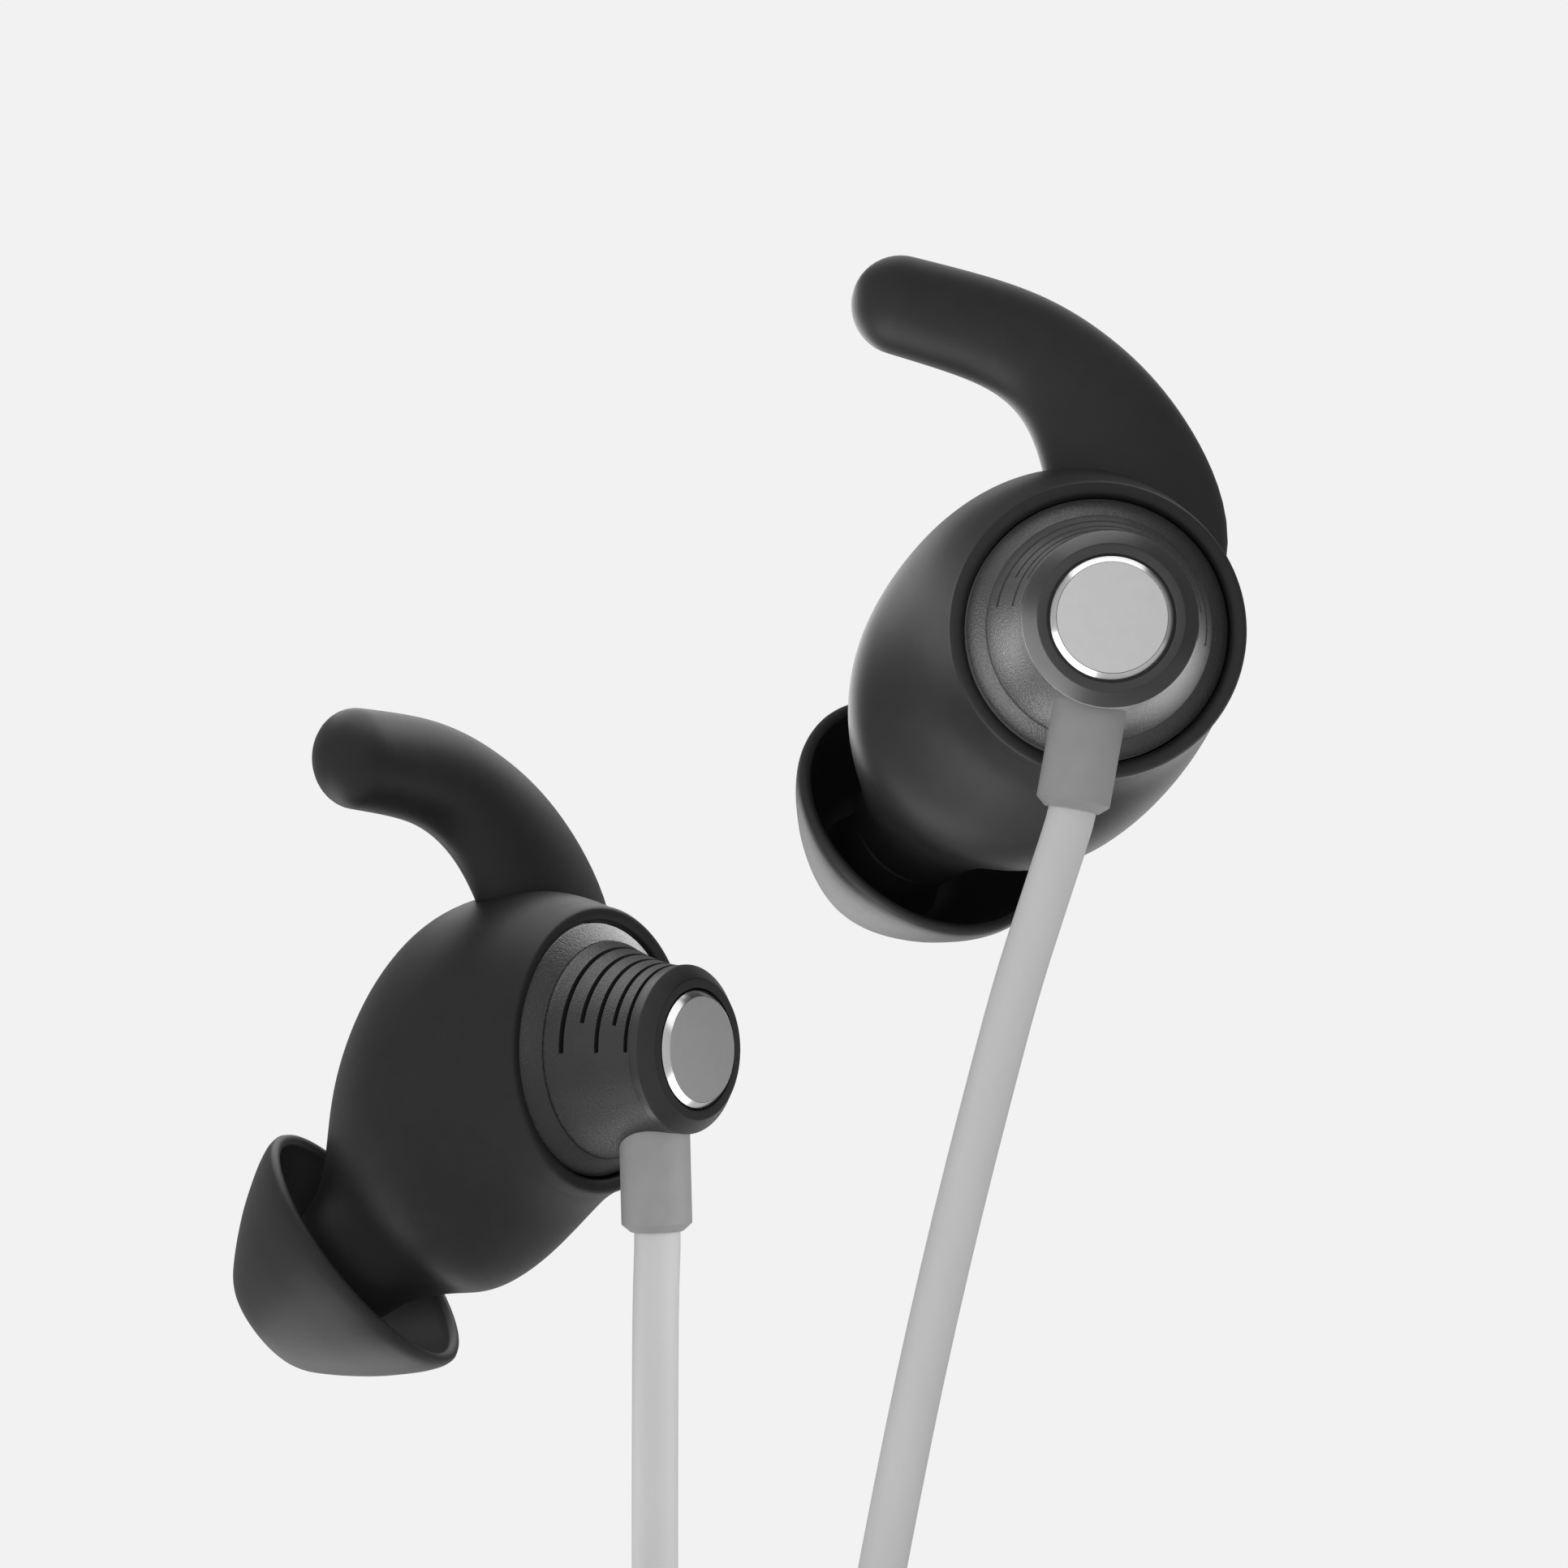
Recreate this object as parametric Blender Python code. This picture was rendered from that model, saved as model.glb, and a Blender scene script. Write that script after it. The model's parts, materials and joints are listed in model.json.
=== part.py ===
"""Wired in-ear monitors with silicone sleeves, ear wings and umbrella tips.

Two earpieces of one design hang on two branch cords that join at a splitter,
and one main cord goes on to a 3.5 mm jack plug. The spare cord is wound into
three neat coils, each held by a tie. Metres, +Z up. The origin lies midway
between the two earpieces, where the wearer's ears hold them.
"""
import math

import bmesh
import bpy
from mathutils import Matrix, Vector

MM = 0.001
GAP = 0.3                      # clearance between pieces that touch, mm

# ---- driving dimensions, all in millimetres -------------------------------
CORD_D = 2.1
FLANGE_R = 5.7                 # outer edge of the 45 degree flange band
PARTING_R = 4.96               # where the rear shell meets the flange band
NECK_R = 3.78                  # rear shell and cap ring at the outer end
DISC_R = 2.65
CAP_TOP_Z = 6.0                # outer face of the cap ring
DISC_TOP_Z = 6.24              # outer face of the metal disc
WALL = 0.75                    # rigid plastic wall
SLEEVE_WALL = 0.8              # silicone wall
BOOT_R = 1.6
BOOT_Z = 3.41                  # strain relief's place along the earpiece axis
BOOT_TOP, BOOT_END = 2.9, 8.19 # strain relief, from the axis outwards
TIP_R = 6.48                   # rim radius of the umbrella tip
NOZZLE_R, NOZZLE_BORE = 1.45, 1.0
NOZZLE_END = 4.4               # nozzle's end beyond the tip's rim plane
TIP_CENTRE = Vector((-5.37, -8.80, -9.27))
NOZZLE_DIR = Vector((-0.324, -0.592, -0.738)).normalized()
WING_PIVOT = Vector((-1.5, 10.6, -3.85))

# earpiece poses: place of the flange plane's centre, then yaw, pitch and roll
LEFT_POSE = (Vector((-11.20, 3.42, -12.11)), 54.3, 2.3, 0.6)
RIGHT_POSE = (Vector((11.22, -3.77, 6.74)), 2.1, 3.1, 10.5)

# sleeve stations: centre x, y, z, share of the turn towards the nozzle, radius
SLEEVE = (
    (0.0, 0.0, 0.45, 0.0, 6.75),
    (-0.25, 0.2, -0.5, 0.0, 7.05),
    (-0.55, 0.25, -1.9, 0.06, 7.4),
    (-0.9, -0.3, -3.7, 0.22, 7.7),
    (-1.6, -1.55, -5.1, 0.40, 7.8),
    (-2.75, -3.5, -6.25, 0.61, 7.3),
    (-3.75, -5.35, -7.2, 0.82, 6.1),
    (-4.6, -7.2, -8.3, 0.98, 4.4),
    (-5.25, -8.6, -9.15, 1.0, 2.9),
)
# wing stations: centre x, y, z, width across the curl, thickness
WING = (
    (-1.5, 10.6, -3.85, 5.4, 4.0),
    (-2.9, 11.4, -3.95, 5.3, 4.2),
    (-4.6, 12.05, -3.9, 5.0, 4.4),
    (-7.97, 12.85, -3.5, 4.6, 4.6),
    (-10.85, 13.3, -4.4, 4.5, 4.6),
)
# slits over the rear shell's upper half: place on the axis, arc each side of +Y
SLITS = ((1.83, 90.0), (2.63, 72.0), (3.38, 90.0), (4.13, 72.0), (4.80, 90.0))
SLIT_WIDTH, SLIT_DEPTH = 0.2, 0.35

# coils: entry point, turn radii from outside in, turns per layer, side, stacking
LEFT_COIL_Z, RIGHT_COIL_Z, MAIN_COIL_Z = -51.0, -51.0, -107.0
LEFT_TANGENT, RIGHT_TANGENT, MAIN_TANGENT = (-8.31, 1.1), (0.2, -8.0), (-4.05, -4.0)
LEFT_COIL_R, RIGHT_COIL_R = 11.5, 10.7
MAIN_COIL_R = (8.6, 13.0)      # innermost and outermost turns
TURNS_ACROSS = 4               # turns side by side in every coil
COIL_PITCH = 2.2

SPLITTER_TOP, SPLITTER_END = -78.0, -91.0
RELIEF_END = -96.0
PLUG_TOP = -122.0


# ---- helpers ---------------------------------------------------------------
def clear_scene():
    for obj in list(bpy.data.objects):
        bpy.data.objects.remove(obj, do_unlink=True)


def material(name, colour, roughness, metallic=0.0):
    mat = bpy.data.materials.new(name)
    mat.use_nodes = True
    shader = mat.node_tree.nodes["Principled BSDF"]
    shader.inputs["Base Color"].default_value = (*colour, 1.0)
    shader.inputs["Roughness"].default_value = roughness
    shader.inputs["Metallic"].default_value = metallic
    return mat


def add_object(name, bm, mat, matrix, parent=None):
    """Make an object from a bmesh given in millimetres in its own frame."""
    bmesh.ops.recalc_face_normals(bm, faces=bm.faces)
    for vert in bm.verts:
        vert.co *= MM
    mesh = bpy.data.meshes.new(name)
    bm.to_mesh(mesh)
    bm.free()
    mesh.materials.append(mat)
    mesh.shade_smooth()
    mesh.set_sharp_from_angle(angle=math.radians(35))
    obj = bpy.data.objects.new(name, mesh)
    bpy.context.scene.collection.objects.link(obj)
    obj.parent = parent
    place = matrix.copy()
    place.translation *= MM
    obj.matrix_local = place
    return obj


def spun(profile, steps, closed=True):
    """Turn an outline of (radius, z) points about Z; an open one ends on the axis."""
    bm = bmesh.new()
    verts = [bm.verts.new((radius, 0.0, z)) for radius, z in profile]
    pairs = list(zip(verts, verts[1:])) + ([(verts[-1], verts[0])] if closed else [])
    edges = [bm.edges.new(pair) for pair in pairs]
    bmesh.ops.spin(bm, geom=verts + edges, cent=(0, 0, 0), axis=(0, 0, 1),
                   angle=math.tau, steps=steps, use_duplicate=False)
    bmesh.ops.remove_doubles(bm, verts=bm.verts, dist=1e-4)
    return bm


def ring_points(centre, normal, radius, steps, across=None, thickness=None):
    """Points round a circle, or round an ellipse whose width lies along across."""
    if across is None:
        turn = Vector((0, 0, 1)).rotation_difference(normal).to_matrix()
        side, up = turn @ Vector((1, 0, 0)), turn @ Vector((0, 1, 0))
    else:
        side, up = across, normal.cross(across).normalized()
    angles = (math.tau * i / steps for i in range(steps))
    high = radius if thickness is None else thickness
    return [centre + side * radius * math.cos(a) + up * high * math.sin(a) for a in angles]


def lofted(rings, joined=False):
    """Skin a list of rings; joined closes the last ring onto the first."""
    bm = bmesh.new()
    loops = [[bm.verts.new(p) for p in ring] for ring in rings]
    pairs = list(zip(loops, loops[1:])) + ([(loops[-1], loops[0])] if joined else [])
    for low, high in pairs:
        count = len(low)
        for i in range(count):
            j = (i + 1) % count
            bm.faces.new((low[i], low[j], high[j], high[i]))
    if not joined:
        bm.faces.new(loops[0])
        bm.faces.new(loops[-1])
    return bm


def axis_frame(origin, direction):
    turn = Vector((0, 0, 1)).rotation_difference(direction).to_matrix().to_4x4()
    return Matrix.Translation(origin) @ turn


def smooth_route(points, step):
    """Evenly read points from a smooth curve through the route's own points."""
    knots = [Vector(p) for p in points]
    ends = [2 * knots[0] - knots[1]] + knots + [2 * knots[-1] - knots[-2]]
    route = [knots[0]]
    for before, start, end, after in zip(ends, ends[1:], ends[2:], ends[3:]):
        parts = max(1, round((end - start).length / step))
        for i in range(1, parts + 1):
            t = i / parts
            route.append(0.5 * (2 * start + (end - before) * t
                                + (2 * before - 5 * start + 4 * end - after) * t * t
                                + (3 * start - before - 3 * end + after) * t ** 3))
    return route


def tube(name, points, mat):
    """A plain cord tube along a route."""
    route = smooth_route(points, 2.5 * CORD_D)
    curve = bpy.data.curves.new(name, "CURVE")
    curve.dimensions = "3D"
    spline = curve.splines.new("POLY")
    spline.points.add(len(route) - 1)
    for point, place in zip(spline.points, route):
        point.co = (*(place * MM), 1.0)
    curve.bevel_depth = CORD_D / 2 * MM
    curve.bevel_resolution = 2
    curve.use_fill_caps = True
    curve.materials.append(mat)
    obj = bpy.data.objects.new(name, curve)
    bpy.context.scene.collection.objects.link(obj)
    return obj


def box_loop(name, centre, inner, wall, width, mat):
    """A tie: a flat band bent into a rectangular loop that lies across Z."""
    bm = bmesh.new()
    loops = []
    for grow, z in ((0, -width / 2), (wall, -width / 2), (wall, width / 2), (0, width / 2)):
        x, y = inner[0] / 2 + grow, inner[1] / 2 + grow
        loops.append([bm.verts.new((sx * x, sy * y, z))
                      for sx, sy in ((-1, -1), (1, -1), (1, 1), (-1, 1))])
    for low, high in zip(loops, loops[1:] + loops[:1]):
        for i in range(4):
            j = (i + 1) % 4
            bm.faces.new((low[i], low[j], high[j], high[i]))
    return add_object(name, bm, mat, Matrix.Translation(centre))


# ---- one earpiece ----------------------------------------------------------
def sleeve_ring(index, inset, steps):
    x, y, z, turn, radius = SLEEVE[index]
    normal = ((1 - turn) * Vector((0, 0, 1)) - turn * NOZZLE_DIR).normalized()
    return ring_points(Vector((x, y, z)), normal, max(radius - inset, 0.0), steps)


def silicone_sleeve(side, bud, mats):
    steps = 20
    count = len(SLEEVE)
    outer = [sleeve_ring(i, 0.0, steps) for i in range(count)]
    inner = [sleeve_ring(i, SLEEVE_WALL, steps) for i in range(count)]
    add_object(f"{side}_silicone_sleeve", lofted(outer + inner[::-1], joined=True),
               mats["silicone"], Matrix(), bud)


def front_housing(side, bud, mats):
    """The rigid front shell inside the sleeve, which narrows into the nozzle."""
    steps = 16
    stations = range(2, len(SLEEVE) - 2)
    clear = SLEEVE_WALL + GAP
    nozzle_outer = [ring_points(TIP_CENTRE + NOZZLE_DIR * z, -NOZZLE_DIR, NOZZLE_R, steps)
                    for z in (-0.6, NOZZLE_END)]
    nozzle_bore = [ring_points(TIP_CENTRE + NOZZLE_DIR * z, -NOZZLE_DIR, NOZZLE_BORE, steps)
                   for z in (NOZZLE_END, -0.6)]
    mouth = Vector((0, 0, -0.9))
    outer = [ring_points(mouth, Vector((0, 0, 1)), 5.6, steps)]
    outer += [sleeve_ring(i, clear, steps) for i in stations]
    inner = [sleeve_ring(i, clear + WALL, steps) for i in stations]
    inner = [ring_points(mouth, Vector((0, 0, 1)), 5.6 - WALL, steps)] + inner
    rings = outer + nozzle_outer + nozzle_bore + inner[::-1]
    add_object(f"{side}_front_housing", lofted(rings, joined=True),
               mats["plastic"], Matrix(), bud)


def ear_tip(side, bud, mats):
    """Umbrella tip: a core tube on the nozzle and a skirt that folds back over it."""
    profile = (
        (TIP_R, 0.0), (6.22, 1.0), (5.44, 2.1), (4.8, 3.3), (4.32, 4.05), (3.05, 5.4),
        (2.3, 5.75), (1.75, 5.6), (1.75, 0.9), (2.6, 0.9), (2.7, 4.4), (3.75, 3.9),
        (4.25, 3.1), (4.9, 2.0), (5.7, 0.95), (TIP_R - 0.5, 0.0),
    )
    add_object(f"{side}_ear_tip", spun(profile, 24), mats["silicone"],
               axis_frame(TIP_CENTRE, NOZZLE_DIR), bud)
    mesh_disc = ((0.0, 4.7), (1.4, 4.7), (1.4, 5.0), (0.0, 5.0))
    add_object(f"{side}_nozzle_mesh", spun(mesh_disc, 16, closed=False), mats["steel"],
               axis_frame(TIP_CENTRE, NOZZLE_DIR), bud)


def ear_wing(side, bud, mats):
    """Curled silicone wing, round at both ends, that flexes about its root."""
    steps = 12
    centres = [Vector(station[:3]) for station in WING]
    rings = []
    for i, (*_, width, thick) in enumerate(WING):
        ahead, behind = centres[min(i + 1, len(WING) - 1)], centres[max(i - 1, 0)]
        along = (ahead - behind).normalized()
        across = along.cross(Vector((0, 0, 1))).normalized()
        ends = ()
        if i == 0:
            ends = ((-0.92, 0.4), (-0.62, 0.78))
        rings += [ring_points(centres[0] + along * k * width / 2, along, width / 2 * s,
                              steps, across, thick / 2 * s) for k, s in ends]
        rings.append(ring_points(centres[i], along, width / 2, steps, across, thick / 2))
        if i == len(WING) - 1:
            rings += [ring_points(centres[i] + along * k * width / 2, along, width / 2 * s,
                                  steps, across, thick / 2 * s)
                      for k, s in ((0.62, 0.78), (0.92, 0.4))]
    rings = [[p - WING_PIVOT for p in ring] for ring in rings]
    add_object(f"{side}_ear_wing", lofted(rings), mats["silicone"],
               Matrix.Translation(WING_PIVOT), bud)


def driver(side, bud, mats):
    """Moving-coil driver that fires towards the nozzle."""
    centre = Matrix.Translation((-0.3, 0.0, 0.0))
    pieces = (
        ("driver_frame", ((4.7, -1.3), (4.7, -3.4), (3.9, -3.4), (3.9, -2.0), (3.3, -1.3)),
         True, "plastic"),
        ("driver_yoke", ((0.0, 0.3), (2.9, 0.3), (2.9, -1.9), (2.4, -1.9), (2.4, -0.3),
                         (0.0, -0.3)), False, "steel"),
        ("driver_magnet", ((0.0, -0.6), (1.7, -0.6), (1.7, -1.4), (0.0, -1.4)), False,
         "steel"),
        ("driver_plate", ((0.0, -1.7), (1.7, -1.7), (1.7, -2.1), (0.0, -2.1)), False,
         "steel"),
    )
    for name, profile, closed, mat in pieces:
        add_object(f"{side}_{name}", spun(profile, 16, closed), mats[mat], centre, bud)
    coil = ((2.2, -0.9), (2.2, -2.2), (1.95, -2.2), (1.95, -0.9))
    add_object(f"{side}_voice_coil", spun(coil, 16), mats["copper"], centre, bud)
    dome = ((0.0, -3.3), (1.2, -3.1), (2.05, -2.65), (2.8, -2.85), (3.6, -2.6),
            (3.6, -2.4), (2.8, -2.6), (2.05, -2.45), (1.2, -2.9), (0.0, -3.1))
    add_object(f"{side}_diaphragm", spun(dome, 16, closed=False), mats["film"], centre, bud)
    board = ((0.0, 0.9), (3.2, 0.9), (3.2, 1.3), (0.0, 1.3))
    add_object(f"{side}_terminal_board", spun(board, 16, closed=False), mats["board"],
               centre, bud)


def slit_cutter(side, index, bud):
    """A curved bar that cuts one slit over the rear shell's upper half."""
    z, half_arc = SLITS[index]
    steps = 12
    bm = bmesh.new()
    loops = []
    for i in range(steps + 1):
        angle = math.radians(90 - half_arc + 2 * half_arc * i / steps)
        low = rear_radius(z) - SLIT_DEPTH
        loops.append([bm.verts.new((r * math.cos(angle), r * math.sin(angle), h))
                      for r, h in ((low, z - SLIT_WIDTH / 2), (7.0, z - SLIT_WIDTH / 2),
                                   (7.0, z + SLIT_WIDTH / 2), (low, z + SLIT_WIDTH / 2))])
    for low, high in zip(loops, loops[1:]):
        for i in range(4):
            j = (i + 1) % 4
            bm.faces.new((low[i], low[j], high[j], high[i]))
    bm.faces.new(loops[0])
    bm.faces.new(loops[-1])
    return guide(f"{side}_slit_cutter_{index}", bm, bud)


def guide(name, bm, bud):
    cutter = add_object(name, bm, bpy.data.materials[0], Matrix(), bud)
    cutter.hide_render = True
    cutter.display_type = "WIRE"
    return cutter


def rear_radius(z):
    """Outer radius of the trumpet-shaped rear shell at a place on the axis."""
    rise = max(0.0, min(1.0, (4.98 - z) / 3.9))
    return NECK_R + (PARTING_R - NECK_R) * rise ** 1.6


def rear_housing(side, bud, mats):
    """Trumpet-shaped rear shell with curved slits and a hole for the strain relief."""
    stations = (1.14, 1.7, 2.3, 3.0, 3.8, 4.98)
    outer = [(rear_radius(z), z) for z in stations]
    inner = [(radius - WALL, z) for radius, z in reversed(outer)]
    shell = add_object(f"{side}_rear_housing", spun(outer + inner, 32), mats["plastic"],
                       Matrix(), bud)
    hole = bmesh.new()
    bmesh.ops.create_cone(hole, cap_ends=True, segments=20, radius1=BOOT_R + 0.1,
                          radius2=BOOT_R + 0.1, depth=6.0,
                          matrix=axis_frame(Vector((0, -5.0, BOOT_Z)), Vector((0, -1, 0))))
    cutters = [guide(f"{side}_relief_hole_cutter", hole, bud)]
    cutters += [slit_cutter(side, index, bud) for index in range(len(SLITS))]
    for cutter in cutters:
        cut = shell.modifiers.new(cutter.name, "BOOLEAN")
        cut.operation = "DIFFERENCE"
        cut.solver = "EXACT"
        cut.object = cutter


def trims(side, bud, mats):
    """Flange band, cap ring, magnet and metal disc at the earpiece's outer end."""
    turned = (
        ("flange_ring", ((FLANGE_R, 0.24), (FLANGE_R, -0.5), (4.1, -0.5), (4.1, 0.6),
                         (4.6, 1.02), (PARTING_R, 1.02)), "plastic", 32),
        ("end_cap_ring", ((NECK_R + 0.04, 5.1), (NECK_R + 0.04, 5.5), (3.18, CAP_TOP_Z),
                          (2.86, CAP_TOP_Z), (2.86, 5.32), (1.5, 5.32), (1.5, 5.1)),
         "plastic", 32),
    )
    for name, profile, mat, steps in turned:
        add_object(f"{side}_{name}", spun(profile, steps), mats[mat], Matrix(), bud)
    disc = ((0.0, 5.5), (DISC_R, 5.5), (DISC_R, 6.02), (DISC_R - 0.24, DISC_TOP_Z),
            (0.0, DISC_TOP_Z))
    add_object(f"{side}_cap_disc", spun(disc, 32, closed=False), mats["metal"],
               Matrix(), bud)
    magnet = ((0.0, 4.4), (2.3, 4.4), (2.3, 4.9), (0.0, 4.9))
    add_object(f"{side}_cap_magnet", spun(magnet, 16, closed=False), mats["steel"],
               Matrix(), bud)


def cord_entry(side, bud, mats):
    """Strain relief that comes out below the cap, and the cord's ferrule inside."""
    down = axis_frame(Vector((0, 0, BOOT_Z)), Vector((0, -1, 0)))
    boot = ((0.0, BOOT_TOP), (BOOT_R, BOOT_TOP), (BOOT_R, BOOT_END - 0.38),
            (BOOT_R - 0.4, BOOT_END), (0.0, BOOT_END))
    add_object(f"{side}_strain_relief", spun(boot, 24, closed=False), mats["boot"],
               down, bud)
    ferrule = ((0.45, 1.4), (0.95, 1.4), (0.95, 2.55), (0.45, 2.55))
    add_object(f"{side}_cord_ferrule", spun(ferrule, 16), mats["steel"], down, bud)


def earpiece(side, pose, mats):
    centre, yaw, pitch, roll = pose
    bud = bpy.data.objects.new(f"{side}_earpiece", None)
    bpy.context.scene.collection.objects.link(bud)
    turn = (Matrix.Rotation(math.radians(yaw), 4, "Z")
            @ Matrix.Rotation(math.radians(-pitch), 4, "X")
            @ Matrix.Rotation(math.radians(roll), 4, "Y")
            @ Matrix.Rotation(math.radians(90), 4, "X"))
    bud.matrix_world = Matrix.Translation(centre * MM) @ turn
    for make in (silicone_sleeve, front_housing, ear_tip, ear_wing, driver, rear_housing,
                 trims, cord_entry):
        make(side, bud, mats)
    exit_point = centre + turn.to_3x3() @ Vector((0, -BOOT_END, BOOT_Z))
    downward = turn.to_3x3() @ Vector((0, -1, 0))
    return exit_point, downward


# ---- cords, coils and what is on them ---------------------------------------
def coil(name, tangent, height, radii, side, stack, mats):
    """The plain outer shape of one round coil and the tie that holds it."""
    inner = min(radii) - COIL_PITCH / 2
    outer = max(radii) + COIL_PITCH / 2
    depth = (TURNS_ACROSS + 1) * COIL_PITCH
    centre = Vector((tangent[0] + side * max(radii),
                     tangent[1] + stack * TURNS_ACROSS * COIL_PITCH / 2, height))
    profile = ((inner, -depth / 2), (outer, -depth / 2), (outer, depth / 2),
               (inner, depth / 2))
    add_object(f"{name}_coil", spun(profile, 24), mats["cord"],
               axis_frame(centre, Vector((0, -1, 0))))
    across = (outer - inner + 2 * GAP, depth + 2 * GAP)
    middle = centre + Vector((side * (outer + inner) / 2, 0, 0))
    box_loop(f"{name}_coil_tie", middle, across, 0.8, 3.0, mats["tie"])


def coil_clearance(radius):
    """How far above or below a coil's centre a tangent cord comes clear of it."""
    reach = radius + COIL_PITCH / 2
    return math.sqrt(reach ** 2 - (radius - CORD_D / 2) ** 2) + GAP


def branch(name, exit_point, downward, middle, tangent, height, radius, side, stack,
           splitter_x, mats):
    """One earpiece's cord: down to its coil, and on from the coil to the splitter."""
    top = height + coil_clearance(radius)
    start = exit_point + downward * GAP
    tube(f"{name}_cord_upper", (start, *middle, (*tangent, top)), mats["cord"])
    coil(f"{name}", tangent, height, (radius,), side, stack, mats)
    leave = tangent[1] + stack * TURNS_ACROSS * COIL_PITCH
    end_y = MAIN_TANGENT[1]
    low = height - coil_clearance(radius)
    route = ((tangent[0], leave, low), (tangent[0], leave, low - 2.5),
             ((tangent[0] * 2 + splitter_x) / 3, (leave * 2 + end_y) / 3, low - 8),
             ((tangent[0] + splitter_x * 4) / 5, (leave + end_y * 4) / 5, low - 14),
             (splitter_x, end_y, SPLITTER_TOP + 2.0), (splitter_x, end_y, SPLITTER_TOP + GAP))
    tube(f"{name}_cord_lower", route, mats["cord"])


def main_cord(mats):
    x, y = MAIN_TANGENT
    top = MAIN_COIL_Z + coil_clearance(MAIN_COIL_R[1])
    tube("main_cord_upper", ((x, y, RELIEF_END - GAP), (x, y, top)), mats["cord"])
    coil("main", MAIN_TANGENT, MAIN_COIL_Z, MAIN_COIL_R, 1, -1, mats)
    leave = y - (TURNS_ACROSS + 1) * COIL_PITCH          # beside the stack of turns
    low = MAIN_COIL_Z - coil_clearance(MAIN_COIL_R[1])
    tube("main_cord_lower", ((x, leave, low), (x, leave, PLUG_TOP + GAP)), mats["cord"])
    return Vector((x, leave, PLUG_TOP))


def splitter(mats):
    """Flat Y-splitter whose lower relief carries the main cord."""
    x, y = MAIN_TANGENT
    stations = ((0.0, 3.1, 1.7), (0.8, 3.5, 2.1), (9.0, 3.0, 2.1), (13.0, 2.2, 1.9))
    rings = [ring_points(Vector((x, y, SPLITTER_TOP - drop)), Vector((0, 0, 1)), wide, 20,
                         Vector((1, 0, 0)), thick) for drop, wide, thick in stations]
    add_object("splitter_body", lofted(rings), mats["plastic"], Matrix())
    length = SPLITTER_END - RELIEF_END
    relief = ((0.0, GAP), (1.75, GAP), (1.45, length), (0.0, length))
    add_object("splitter_relief", spun(relief, 20, closed=False), mats["boot"],
               axis_frame(Vector((x, y, SPLITTER_END)), Vector((0, 0, -1))))


def jack_plug(top, mats):
    """3.5 mm three-contact jack plug on the main cord's end."""
    frame = axis_frame(top, Vector((0, 0, -1)))
    shell = 8.0
    collar = shell + 12.0
    socket = collar - 5.0          # the pin stands in a socket in the shell's front
    pieces = (
        ("plug_relief", ((0.0, 0.0), (1.5, 0.0), (1.9, shell - GAP), (0.0, shell - GAP)),
         "boot"),
        ("plug_shell", ((0.0, shell), (2.9, shell), (3.2, shell + 0.4),
                        (3.2, collar - 0.4), (2.9, collar), (1.95, collar),
                        (1.95, socket), (0.0, socket)), "plastic"),
        ("plug_sleeve_contact", ((0.0, socket + GAP), (1.75, socket + GAP),
                                 (1.75, collar + 6.5), (0.0, collar + 6.5)), "metal"),
        ("plug_first_insulator", ((0.0, collar + 6.6), (1.7, collar + 6.6),
                                  (1.7, collar + 7.2), (0.0, collar + 7.2)), "film"),
        ("plug_ring_contact", ((0.0, collar + 7.3), (1.75, collar + 7.3),
                               (1.75, collar + 9.4), (0.0, collar + 9.4)), "metal"),
        ("plug_second_insulator", ((0.0, collar + 9.5), (1.7, collar + 9.5),
                                   (1.7, collar + 10.1), (0.0, collar + 10.1)), "film"),
        ("plug_tip_contact", ((0.0, collar + 10.2), (1.6, collar + 10.2),
                              (1.2, collar + 11.4), (1.7, collar + 12.4),
                              (0.9, collar + 14.0), (0.0, collar + 14.0)), "metal"),
    )
    for name, profile, mat in pieces:
        add_object(name, spun(profile, 20, closed=False), mats[mat], frame)


def main():
    clear_scene()
    mats = {
        "silicone": material("silicone", (0.025, 0.025, 0.027), 0.6),
        "plastic": material("plastic", (0.06, 0.06, 0.062), 0.45),
        "metal": material("metal", (0.72, 0.72, 0.73), 0.25, 1.0),
        "steel": material("steel", (0.45, 0.45, 0.46), 0.35, 1.0),
        "copper": material("copper", (0.72, 0.38, 0.22), 0.35, 1.0),
        "film": material("film", (0.08, 0.08, 0.09), 0.5),
        "board": material("board", (0.03, 0.16, 0.08), 0.5),
        "boot": material("boot", (0.27, 0.27, 0.27), 0.6),
        "cord": material("cord", (0.56, 0.56, 0.56), 0.55),
        "tie": material("tie", (0.05, 0.05, 0.05), 0.8),
    }
    left_exit, left_down = earpiece("left", LEFT_POSE, mats)
    right_exit, right_down = earpiece("right", RIGHT_POSE, mats)
    left_route = ((-8.28, 1.1, -24.0), (-8.31, 1.1, -31.0), (-8.31, 1.1, -37.0))
    branch("left", left_exit, left_down, left_route, LEFT_TANGENT, LEFT_COIL_Z,
           LEFT_COIL_R, -1, -1, MAIN_TANGENT[0] - 1.5, mats)
    right_route = ((8.75, -7.85, -4.8), (7.67, -8.0, -8.15), (6.70, -8.0, -11.65),
                   (4.93, -8.0, -18.6), (3.33, -8.0, -25.6), (1.93, -8.0, -32.6),
                   (0.95, -8.0, -38.0))
    branch("right", right_exit, right_down, right_route, RIGHT_TANGENT, RIGHT_COIL_Z,
           RIGHT_COIL_R, 1, 1, MAIN_TANGENT[0] + 1.5, mats)
    splitter(mats)
    jack_plug(main_cord(mats), mats)


main()
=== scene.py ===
"""Looks of the wired in-ear monitors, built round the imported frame. Metres, +Z up.

Each earpiece is modelled in millimetres in its own frame: origin at the centre
of the rear shell's flange plane, +Z out along the shell to the metal disc, +Y
away from the cord. The frame's mounts and joints say where that frame lies.
"""
import json
import math

import bmesh
import bpy
from mathutils import Matrix, Vector


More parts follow.
